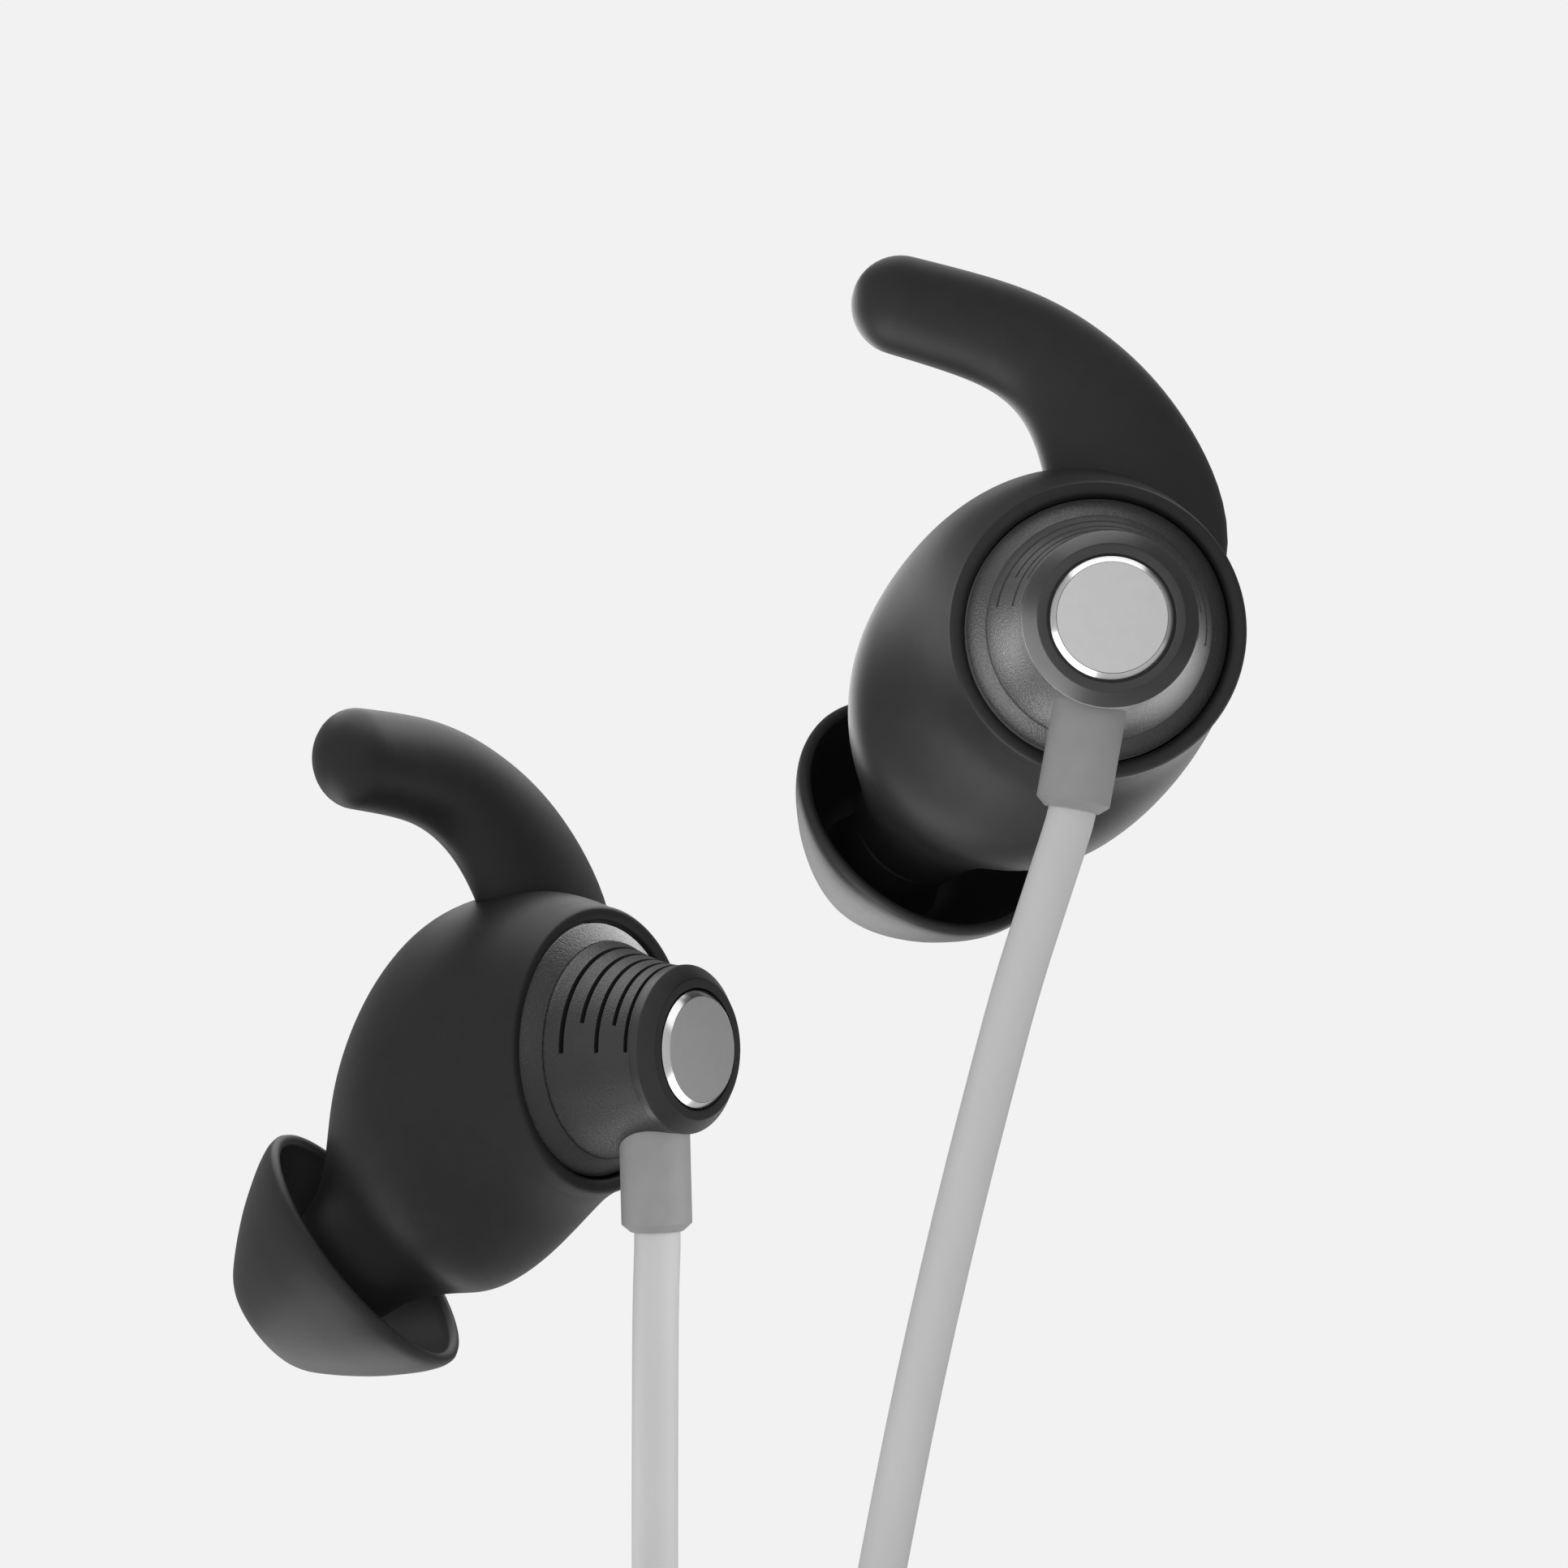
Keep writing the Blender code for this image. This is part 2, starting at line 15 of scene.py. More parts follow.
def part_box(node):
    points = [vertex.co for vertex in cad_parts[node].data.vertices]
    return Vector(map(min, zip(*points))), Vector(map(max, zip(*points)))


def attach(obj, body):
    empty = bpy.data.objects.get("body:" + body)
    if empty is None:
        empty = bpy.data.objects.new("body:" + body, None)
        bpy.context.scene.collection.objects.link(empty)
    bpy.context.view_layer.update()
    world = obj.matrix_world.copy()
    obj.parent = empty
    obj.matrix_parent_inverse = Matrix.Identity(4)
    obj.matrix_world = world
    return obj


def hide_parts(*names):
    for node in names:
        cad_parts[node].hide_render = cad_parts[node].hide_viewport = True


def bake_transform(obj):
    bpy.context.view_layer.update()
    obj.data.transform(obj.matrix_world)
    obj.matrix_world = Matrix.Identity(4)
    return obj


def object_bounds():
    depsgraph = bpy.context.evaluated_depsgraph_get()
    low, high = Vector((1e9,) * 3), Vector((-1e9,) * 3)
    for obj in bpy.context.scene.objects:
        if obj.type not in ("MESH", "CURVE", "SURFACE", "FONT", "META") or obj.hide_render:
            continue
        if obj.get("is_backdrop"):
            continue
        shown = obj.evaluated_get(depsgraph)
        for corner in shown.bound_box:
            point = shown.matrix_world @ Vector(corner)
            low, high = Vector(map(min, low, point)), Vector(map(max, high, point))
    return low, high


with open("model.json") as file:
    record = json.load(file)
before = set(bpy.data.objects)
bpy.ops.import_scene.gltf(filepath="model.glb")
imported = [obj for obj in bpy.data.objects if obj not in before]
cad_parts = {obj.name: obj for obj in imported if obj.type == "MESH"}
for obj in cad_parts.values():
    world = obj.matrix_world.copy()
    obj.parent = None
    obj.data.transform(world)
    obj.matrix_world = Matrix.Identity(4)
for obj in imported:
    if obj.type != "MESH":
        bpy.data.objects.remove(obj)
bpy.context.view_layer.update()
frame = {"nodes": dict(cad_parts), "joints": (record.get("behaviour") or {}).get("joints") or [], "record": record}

MM = 0.001
MOUNTS = {mount["name"]: mount for mount in frame["record"]["mounts"]}
JOINTS = {joint["name"]: joint for joint in frame["joints"]}

# ---- sizes in millimetres, the same as the CAD part's ------------------------
CORD_D = 2.1
FLANGE_R, PARTING_R, NECK_R = 5.7, 4.96, 3.78
SHELL_START_Z, SHELL_END_Z = 1.07, 4.98
FLARE_LENGTH, FLARE_POWER = 3.9, 1.6           # how the rear shell widens to the flange
DISC_R, CAP_TOP_Z, DISC_TOP_Z = 2.65, 6.0, 6.24
SLEEVE_WALL = 0.8
BOOT_R, BOOT_Z, BOOT_TOP, BOOT_END = 1.6, 3.41, 2.9, 8.19
TIP_R = 6.48
TIP_CENTRE = Vector((-5.37, -8.80, -9.27))
NOZZLE_DIR = Vector((-0.324, -0.592, -0.738)).normalized()

# sleeve stations: centre x, y, z, share of the turn towards the nozzle, half widths
SLEEVE = (
    (-0.15, 0.0, 0.15, 0.0, 6.62, 6.65),
    (-0.6, -0.05, -1.1, 0.0, 7.05, 7.3),
    (-0.98, -0.5, -2.8, 0.18, 7.5, 7.98),
    (-1.6, -1.42, -4.65, 0.4, 7.8, 8.25),
    (-2.6, -3.4, -6.2, 0.61, 7.8, 7.5),
    (-3.45, -5.8, -7.65, 0.83, 6.75, 6.1),
    (-4.65, -7.35, -8.2, 1.0, 4.95, 4.35),
    (-5.3, -8.68, -9.4, 1.0, 3.2, 3.2),
    (-5.76, -9.51, -10.16, 1.0, 3.0, 3.0),
)
# the sleeve's mouth, from inside the gap over the crest to the outside: radius, z
LIP = ((5.87, -0.6), (5.85, 0.0), (5.85, 0.34), (5.91, 0.49), (6.05, 0.57), (6.28, 0.6),
       (6.46, 0.56), (6.57, 0.42))
# wing stations: centre x, y, z, width across the curl, thickness
WING = (
    (0.9, 2.6, -2.9, 8.2, 3.0),
    (1.85, 4.65, -3.25, 8.1, 3.0),
    (0.3, 7.75, -3.5, 7.3, 3.05),
    (-1.3, 9.95, -3.8, 6.25, 3.15),
    (-2.9, 11.4, -4.15, 5.4, 3.2),
    (-4.65, 12.4, -4.45, 4.95, 3.3),
    (-6.9, 13.0, -4.5, 4.7, 3.4),
    (-10.88, 13.3, -4.3, 4.5, 3.5),
)
# slits over the rear shell's upper half: place on the axis, arc each side of +Y
SLITS = ((1.83, 90.0), (2.63, 72.0), (3.38, 90.0), (4.13, 72.0), (4.80, 90.0))
SLIT_WIDTH, SLIT_DEPTH = 0.2, 0.45

# cords and coils, the same routes as the CAD part's, in millimetres
COIL_PITCH, TURNS_ACROSS = 2.2, 4
LEFT_TANGENT, LEFT_COIL_Z, LEFT_COIL_R = (-8.31, 1.1), -51.0, 11.5
RIGHT_TANGENT, RIGHT_COIL_Z, RIGHT_COIL_R = (0.2, -8.0), -51.0, 10.7
MAIN_TANGENT, MAIN_COIL_Z, MAIN_LAYERS = (-4.05, -4.0), -107.0, (13.0, 10.8, 8.6)
SPLITTER_TOP, SPLITTER_END, RELIEF_END, PLUG_TOP = -78.0, -91.0, -96.0, -122.0
LEFT_ROUTE = ((-8.28, 1.1, -24.0), (-8.31, 1.1, -31.0), (-8.31, 1.1, -37.0))
RIGHT_ROUTE = ((8.75, -7.85, -4.8), (7.67, -8.0, -8.15), (6.70, -8.0, -11.65),
               (4.93, -8.0, -18.6), (3.33, -8.0, -25.6), (1.93, -8.0, -32.6),
               (0.95, -8.0, -38.0))
SPLIT_APART = 1.5              # each branch's place beside the main cord

# the viewpoint and the floor, in metres
CAMERA_PLACE = (-0.0025, -0.195, 0.0)
LENS_MM, SENSOR_MM = 100.0, 36.0
FLOOR_DROP, FLOOR_R = 0.012, 0.55
FLOOR_TONE, FLOOR_GLOW = 0.9, 0.22

# light: the backdrop's tone; the world's mean strength, how much more comes from the
# left, how much more from the front and how much less from behind
BACKDROP = 0.887
WORLD_MEAN, WORLD_LEFT, WORLD_FRONT, WORLD_BACK = 0.6, 0.15, 0.3, -0.2
SILICONE = ("silicone_skin", "umbrella_tip")
SHELL = ("rear_shell", "flange_band", "cap_ring")
METAL = ("disc_face", "disc_bevel")
LEAD = ("relief_sleeve", "cord")
LOWER = ("splitter_shell", "splitter_boot", "plug_boot", "plug_barrel", "plug_sleeve",
         "plug_ring", "plug_tip", "main_cord", "main_tie", "left_tie", "right_tie")
# soft panels: name, earpiece (none for what hangs below), pieces lit, direction from
# it, size in mm, radiance
LIGHTS = (
    ("key", "", LOWER, (-0.6, -0.5, 0.6), 220.0, 0.9),
    ("kicker", "", LOWER, (0.8, 0.5, 0.2), 180.0, 1.1),
    ("over", "left", SILICONE, (0.15, 0.45, 0.85), 240.0, 1.8),
    ("top", "left", SHELL, (-0.3, 0.15, 0.95), 180.0, 2.0),
    ("under", "left", SILICONE + SHELL, (-0.3, 0.1, -0.95), 220.0, 1.5),
    ("front", "left", SHELL, (-0.8, -0.6, 0.1), 150.0, 0.35),
    ("bevel", "left", ("flange_band",), (0.45, 0.65, 0.6), 150.0, 3.8),
    ("bevel_front", "left", ("flange_band",), (0.0, -1.0, 0.3), 120.0, 0.7),
    ("glint", "left", ("disc_bevel",), (0.45, -0.3, -0.8), 150.0, 1.7),
    ("gleam", "left", ("disc_bevel",), (0.45, -0.3, 0.85), 150.0, 1.1),
    ("lead_one", "left", LEAD, (0.9, -0.2, 0.1), 150.0, 1.1),
    ("lead_two", "left", LEAD, (-0.9, 0.0, 0.0), 150.0, 0.9),
    ("rim", "right", ("silicone_skin",), (-0.68, 0.72, -0.05), 150.0, 3.6),
    ("crest", "right", ("silicone_skin",), (0.1, 0.6, 0.8), 160.0, 1.0),
    ("under", "right", ("umbrella_tip",), (-0.7, 0.45, -0.7), 230.0, 2.8),
    ("low", "right", SILICONE, (-0.4, -0.5, -0.8), 150.0, 2.1),
    ("corner", "right", SILICONE, (0.5, 0.75, -0.5), 130.0, 1.1),
    ("crescent", "right", ("rear_shell",), (0.75, 0.5, -0.45), 130.0, 5.8),
    ("side", "right", SHELL, (-0.9, -0.1, -0.5), 240.0, 3.3),
    ("back", "right", SHELL, (-0.48, 0.65, -0.6), 250.0, 4.8),
    ("over", "right", SHELL, (-0.2, 0.4, 0.9), 160.0, 2.3),
    ("bevel", "right", ("flange_band",), (-0.5, 0.0, 0.85), 140.0, 0.9),
    ("face", "right", SHELL, (-0.1, -1.0, 0.1), 120.0, 0.5),
    ("glint", "right", ("disc_bevel",), (-0.7, 0.0, -0.7), 200.0, 2.2),
    ("gleam", "right", METAL, (0.0, 0.0, 1.0), 220.0, 1.3),
    ("lead_one", "right", LEAD, (-0.9, -0.2, 0.0), 150.0, 0.1),
)
PANEL_DISTANCE = 150.0
LOWER_AIM_DROP = 20.0          # how far below the splitter the lower panels aim
# faint glow on the left sleeve's neck, which the umbrella tip shades too much: size in
# mm, radiance and place along the nozzle
NECK_GLOW_SIZE, NECK_GLOW, NECK_GLOW_PLACE = 9.0, 0.35, 3.0


# ---- materials ---------------------------------------------------------------
def shader_of(name, colour, roughness, metallic=0.0, **constants):
    mat = bpy.data.materials.new(name)
    mat.use_nodes = True
    shader = mat.node_tree.nodes["Principled BSDF"]
    shader.inputs["Base Color"].default_value = (*colour, 1.0)
    shader.inputs["Roughness"].default_value = roughness
    shader.inputs["Metallic"].default_value = metallic
    for socket, value in constants.items():
        shader.inputs[socket.replace("_", " ")].default_value = value
    return mat, shader


def object_coordinates(mat, stretch=(1, 1, 1)):
    nodes, links = mat.node_tree.nodes, mat.node_tree.links
    place = nodes.new("ShaderNodeTexCoord")
    mapping = nodes.new("ShaderNodeMapping")
    mapping.inputs["Scale"].default_value = stretch
    links.new(place.outputs["Object"], mapping.inputs["Vector"])
    return mapping.outputs["Vector"]


def noise(mat, vector, grain_mm, detail=3.0):
    tex = mat.node_tree.nodes.new("ShaderNodeTexNoise")
    tex.inputs["Scale"].default_value = 1.0 / (grain_mm * MM)
    tex.inputs["Detail"].default_value = detail
    mat.node_tree.links.new(vector, tex.inputs["Vector"])
    return tex.outputs["Fac"]


def spread(mat, value, low, high, start=0.3, end=0.7):
    """Map a noise value onto a range."""
    ramp = mat.node_tree.nodes.new("ShaderNodeMapRange")
    for socket, number in zip(("From Min", "From Max", "To Min", "To Max"),
                              (start, end, low, high)):
        ramp.inputs[socket].default_value = number
    mat.node_tree.links.new(value, ramp.inputs["Value"])
    return ramp.outputs["Result"]


def mottled(mat, shader, value, colour, change):
    """Vary the base colour a little round its mean."""
    mix = mat.node_tree.nodes.new("ShaderNodeMix")
    mix.data_type = "RGBA"
    mix.inputs[6].default_value = (*(c * (1 - change) for c in colour), 1.0)
    mix.inputs[7].default_value = (*(c * (1 + change) for c in colour), 1.0)
    mat.node_tree.links.new(value, mix.inputs[0])
    mat.node_tree.links.new(mix.outputs[2], shader.inputs["Base Color"])


def bumped(mat, shader, height, depth_mm, strength=1.0):
    bump = mat.node_tree.nodes.new("ShaderNodeBump")
    bump.inputs["Distance"].default_value = depth_mm * MM
    bump.inputs["Strength"].default_value = strength
    mat.node_tree.links.new(height, bump.inputs["Height"])
    mat.node_tree.links.new(bump.outputs["Normal"], shader.inputs["Normal"])


def grained(name, colour, roughness, metallic=0.0, grain=0.1, depth=0.004, change=0.08,
            rough_change=0.05, stretch=(1, 1, 1), **constants):
    """A moulded or worked surface: fine grain, uneven gloss and slight mottling."""
    mat, shader = shader_of(name, colour, roughness, metallic, **constants)
    vector = object_coordinates(mat, stretch)
    fine = noise(mat, vector, grain, 2.0)
    broad = noise(mat, vector, grain * 18, 3.0)
    mottled(mat, shader, spread(mat, broad, 0.0, 1.0), colour, change)
    mat.node_tree.links.new(
        spread(mat, fine, roughness - rough_change, roughness + rough_change),
        shader.inputs["Roughness"])
    bumped(mat, shader, fine, depth)
    return mat


def make_materials():
    return {
        "silicone": grained("silicone", (0.014, 0.014, 0.0142), 0.48, grain=0.05,
                            depth=0.0012, change=0.12, Specular_IOR_Level=0.4),
        "housing": grained("housing_plastic", (0.021, 0.021, 0.0214), 0.42, grain=0.1,
                           depth=0.03, change=0.12, rough_change=0.08),
        "cap": grained("cap_plastic", (0.018, 0.018, 0.0184), 0.36, grain=0.06,
                       depth=0.004, change=0.08),
        "satin": grained("satin_metal", (0.74, 0.74, 0.745), 0.3, 1.0, grain=0.03,
                         depth=0.0006, change=0.015, rough_change=0.03),
        "polished": grained("polished_metal", (0.62, 0.62, 0.63), 0.22, 1.0, grain=0.2,
                            depth=0.0002, change=0.01, rough_change=0.02),
        "steel": grained("steel", (0.5, 0.5, 0.51), 0.34, 1.0, grain=0.05, depth=0.001),
        "copper": grained("copper_wire", (0.72, 0.36, 0.2), 0.32, 1.0, grain=0.12,
                          depth=0.01, stretch=(0.2, 0.2, 1.0)),
        "film": grained("film", (0.05, 0.05, 0.055), 0.4, grain=0.2, depth=0.002),
        "board": grained("circuit_board", (0.02, 0.13, 0.06), 0.4, grain=0.25,
                         depth=0.006),
        "boot": grained("relief_rubber", (0.385, 0.385, 0.387), 0.5, grain=0.07,
                        depth=0.002, change=0.05),
        "cord": grained("cord_jacket", (0.76, 0.76, 0.762), 0.5, grain=0.12,
                        depth=0.002, change=0.035, stretch=(1.0, 1.0, 0.25)),
        "tie": woven("tie_fabric", (0.02, 0.02, 0.021)),
    }


def woven(name, colour):
    """Black hook-and-loop tape: crossed threads a quarter of a millimetre apart."""
    mat, shader = shader_of(name, colour, 0.85, Sheen_Weight=0.25)
    vector = object_coordinates(mat)
    tree = mat.node_tree
    heights = []
    for direction in ("X", "Z"):
        wave = tree.nodes.new("ShaderNodeTexWave")
        wave.bands_direction = direction
        wave.inputs["Scale"].default_value = 1 / (0.8 * MM)
        wave.inputs["Distortion"].default_value = 0.6
        tree.links.new(vector, wave.inputs["Vector"])
        heights.append(wave.outputs["Fac"])
    weave = tree.nodes.new("ShaderNodeMath")
    weave.operation = "MAXIMUM"
    tree.links.new(heights[0], weave.inputs[0])
    tree.links.new(heights[1], weave.inputs[1])
    mottled(mat, shader, weave.outputs[0], colour, 0.5)
    bumped(mat, shader, weave.outputs[0], 0.08)
    return mat


MATS = make_materials()


# ---- mesh helpers ------------------------------------------------------------
ARC_PARTS = 4                  # straight parts in each rounded corner


def piece(name, bm, mat, matrix, sharp=35.0):
    """Make an object from a bmesh in millimetres in the frame that matrix gives."""
    bmesh.ops.recalc_face_normals(bm, faces=bm.faces)
    bmesh.ops.transform(bm, matrix=Matrix.Scale(MM, 4) @ matrix, verts=bm.verts)
    mesh = bpy.data.meshes.new(name)
    bm.to_mesh(mesh)
    bm.free()
    mesh.materials.append(mat)
    mesh.shade_smooth()
    mesh.set_sharp_from_angle(angle=math.radians(sharp))
    obj = bpy.data.objects.new(name, mesh)
    bpy.context.scene.collection.objects.link(obj)
    return obj


def rounded(outline, closed=True):
    """Replace each corner (radius, z, fillet) of an outline with a short arc."""
    points = []
    count = len(outline)
    for i, (r, z, *fillet) in enumerate(outline):
        corner = Vector((r, z))
        if not fillet or (not closed and i in (0, count - 1)):
            points.append(corner)
            continue
        before = Vector(outline[i - 1][:2]) - corner
        after = Vector(outline[(i + 1) % count][:2]) - corner
        cut = min(fillet[0], before.length * 0.49, after.length * 0.49)
        start = corner + before.normalized() * cut
        end = corner + after.normalized() * cut
        for k in range(ARC_PARTS + 1):
            t = k / ARC_PARTS
            points.append(start * (1 - t) ** 2 + corner * 2 * t * (1 - t) + end * t * t)
    return points


def loft(rings, joined=False):
    """Skin a list of rings; joined closes the last ring onto the first."""
    bm = bmesh.new()
    loops = [[bm.verts.new(p) for p in ring] for ring in rings]
    pairs = list(zip(loops, loops[1:])) + ([(loops[-1], loops[0])] if joined else [])
    for low, high in pairs:
        count = len(low)
        for i in range(count):
            j = (i + 1) % count
            bm.faces.new((low[i], low[j], high[j], high[i]))
    if not joined:
        bm.faces.new(loops[0])
        bm.faces.new(loops[-1])
    return bm


def turned(outline, steps=96, closed=True, bend=None):
    """Turn an outline about Z. bend(angle, radius, z) may change a point's radius."""
    rings = []
    for point in rounded(outline, closed):
        ring = []
        for i in range(steps):
            angle = math.tau * i / steps
            radius = max(point.x, 0.0)
            if bend:
                radius = bend(angle, radius, point.y)
            ring.append((radius * math.cos(angle), radius * math.sin(angle), point.y))
        rings.append(ring)
    bm = loft(rings, joined=closed)
    bmesh.ops.remove_doubles(bm, verts=bm.verts, dist=1e-5)
    return bm


def circle(centre, normal, radius, steps, other=None):
    """Ring of points round a normal; other is the second half width of an ellipse."""
    turn = Vector((0, 0, 1)).rotation_difference(normal).to_matrix()
    other = radius if other is None else other
    return [centre + turn @ Vector((radius * math.cos(a), other * math.sin(a), 0.0))
            for a in (math.tau * i / steps for i in range(steps))]


def curve_through(rows, parts):
    """Smoothly read rows of numbers, with the given number of parts between rows."""
    rows = [Vector(row) for row in rows]
    ends = [2 * rows[0] - rows[1]] + rows + [2 * rows[-1] - rows[-2]]
    read = [rows[0]]
    for before, start, end, after in zip(ends, ends[1:], ends[2:], ends[3:]):
        for i in range(1, parts + 1):
            t = i / parts
            read.append(0.5 * (2 * start + (end - before) * t
                               + (2 * before - 5 * start + 4 * end - after) * t * t
                               + (3 * start - before - 3 * end + after) * t ** 3))
    return read


def eased_through(rows, parts):
    """Read rows of numbers along a cubic B-spline, which rounds them off."""
    rows = [Vector(row) for row in rows]
    ends = [2 * rows[0] - rows[1]] + rows + [2 * rows[-1] - rows[-2]]
    read = []
    for a, b, c, d in zip(ends, ends[1:], ends[2:], ends[3:]):
        for i in range(parts):
            t = i / parts
            read.append(((1 - t) ** 3 * a + (3 * t ** 3 - 6 * t * t + 4) * b
                         + (-3 * t ** 3 + 3 * t * t + 3 * t + 1) * c + t ** 3 * d) / 6)
    return read + [rows[-1]]


def axis_frame(origin, direction):
    turn = Vector((0, 0, 1)).rotation_difference(direction).to_matrix().to_4x4()
    return Matrix.Translation(origin) @ turn


def basis(first, second):
    """Right-handed axes, as matrix columns, from one direction and a second near it."""
    side = first.cross(second).normalized()
    return Matrix((first, side, first.cross(side))).transposed()


def earpiece_frame(side):
    """The earpiece's own frame, in millimetres, from the frame's mounts and joints."""
    disc = MOUNTS[f"{side}_disc_face"]
    axis = Vector(disc["axis"]).normalized()
    nozzle = Vector(JOINTS[f"{side}_tip_pull_off"]["axis"]).normalized()
    turn = basis(axis, nozzle) @ basis(Vector((0, 0, 1)), NOZZLE_DIR).transposed()
    centre = Vector(disc["pos_m"]) / MM - axis * DISC_TOP_Z
    return Matrix.Translation(centre) @ turn.to_4x4()


# ---- silicone sleeve, wing and tip -------------------------------------------
def sleeve_ring(station, inset, steps):
    x, y, z, turn, wide, high = station
    normal = ((1 - turn) * Vector((0, 0, 1)) - turn * NOZZLE_DIR).normalized()
    return circle(Vector((x, y, z)), normal, wide - inset, steps, high - inset)


def sleeve_mesh():
    steps, first_inner = 128, 5    # the lip's own wall takes the first stations' place
    stations = eased_through(SLEEVE, 8)
    outer = [sleeve_ring(s, 0.0, steps) for s in stations]
    inner = [sleeve_ring(s, SLEEVE_WALL, steps) for s in stations[first_inner:]]
    nozzle_edge = ((2.98, 1.28), (2.8, 1.34), (2.45, 1.34), (2.3, 1.25))
    end = [circle(TIP_CENTRE + NOZZLE_DIR * z, -NOZZLE_DIR, r, steps)
           for r, z in nozzle_edge]
    lip = [circle(Vector((0, 0, z)), Vector((0, 0, 1)), r, steps)
           for r, z in curve_through(LIP, 4)]
    return loft(lip + outer + end + inner[::-1], joined=True)


def sleeve_core_mesh():
    """The space inside the sleeve, for trimming the wing's buried root."""
    steps, inset = 64, SLEEVE_WALL * 0.6
    cap = circle(Vector((0, 0, 1.5)), Vector((0, 0, 1)), 6.3, steps)
    return loft([cap] + [sleeve_ring(s, inset, steps)
                         for s in eased_through(SLEEVE[:7], 4)])


def wing_mesh():
    """The wing's stations as ovals across its run, with a rounded end."""
    steps, cap_parts = 64, 12
    stations = eased_through(WING, 6)
    rings = []
    count = len(stations)
    for i, station in enumerate(stations):
        centre = station[0:3]
        ahead, behind = stations[min(i + 1, count - 1)], stations[max(i - 1, 0)]
        along = (Vector(ahead[0:3]) - Vector(behind[0:3])).normalized()
        flat = (Vector((0, 0, 1)) - along * along.z).normalized()
        across = along.cross(flat)
        rings.append((Vector(centre), along, across, flat,
                      station[3] / 2, station[4] / 2))
    centre, along, across, flat, wide, thick = rings[-1]
    for k in range(1, cap_parts):
        angle = math.pi / 2 * k / cap_parts
        rings.append((centre + along * wide * math.sin(angle), along, across, flat,
                      wide * math.cos(angle), thick * math.cos(angle)))
    loops = [[c + u * w * math.cos(a) + v * t * math.sin(a)
              for a in (math.tau * i / steps for i in range(steps))]
             for c, _, u, v, w, t in rings]
    return loft(loops)


def combined(target, other, operation):
    """Apply a boolean to the target and remove the other object."""
    cut = target.modifiers.new(operation, "BOOLEAN")
    cut.operation = operation
    cut.solver = "EXACT"
    cut.object = other
    graph = bpy.context.evaluated_depsgraph_get()
    mesh = bpy.data.meshes.new_from_object(target.evaluated_get(graph))
    target.modifiers.clear()
    target.data = mesh
    bpy.data.objects.remove(other)


def silicone_skin(side, local):
    """Sleeve and wing are one moulding, with a crease where the wing rises."""
    wing = piece(f"{side}_wing_part", wing_mesh(), MATS["silicone"], local)
    core = piece(f"{side}_core_part", sleeve_core_mesh(), MATS["silicone"], local)
    combined(wing, core, "DIFFERENCE")
    skin = piece(f"{side}_silicone_skin", sleeve_mesh(), MATS["silicone"], local)
    combined(skin, wing, "UNION")
    skin.data.shade_smooth()
    skin.data.set_sharp_from_angle(angle=math.radians(38))
    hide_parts(f"{side}_silicone_sleeve", f"{side}_ear_wing")
    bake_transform(skin)


def ear_tip(side, local):
    """Umbrella tip: a straight-sided cone with a blunt nose, a bore and a rim bead."""
    nozzle = local @ axis_frame(TIP_CENTRE, NOZZLE_DIR)
    outer = curve_through(((TIP_R, 0.18), (6.41, 0.5), (6.13, 1.15), (5.68, 1.95),
                           (5.05, 2.95), (4.3, 3.95), (3.6, 4.78), (3.0, 5.4),
                           (2.5, 5.75), (2.15, 5.87)), 3)
    mouth = ((1.95, 5.88), (1.8, 5.8), (1.75, 5.6), (1.75, 3.0), (1.75, 1.9),
             (1.85, 1.72), (2.2, 1.66), (2.5, 1.72), (2.6, 1.9), (2.65, 3.2),
             (2.75, 4.1), (3.0, 4.42), (3.3, 4.32))
    inner = curve_through(((3.75, 3.95), (4.35, 3.2), (5.0, 2.25), (5.5, 1.3),
                           (5.8, 0.55), (TIP_R - 0.56, 0.12)), 3)
    bead = ((TIP_R - 0.53, -0.02), (TIP_R - 0.42, -0.14), (TIP_R - 0.26, -0.19),
            (TIP_R - 0.1, -0.13), (TIP_R, 0.02))
    outline = [tuple(p) for p in outer] + list(mouth) + [tuple(p) for p in inner]
    tip = piece(f"{side}_umbrella_tip", turned(outline + list(bead), 128),
                MATS["silicone"], nozzle, sharp=60)
    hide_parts(f"{side}_ear_tip")
    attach(tip, f"{side}_tip")


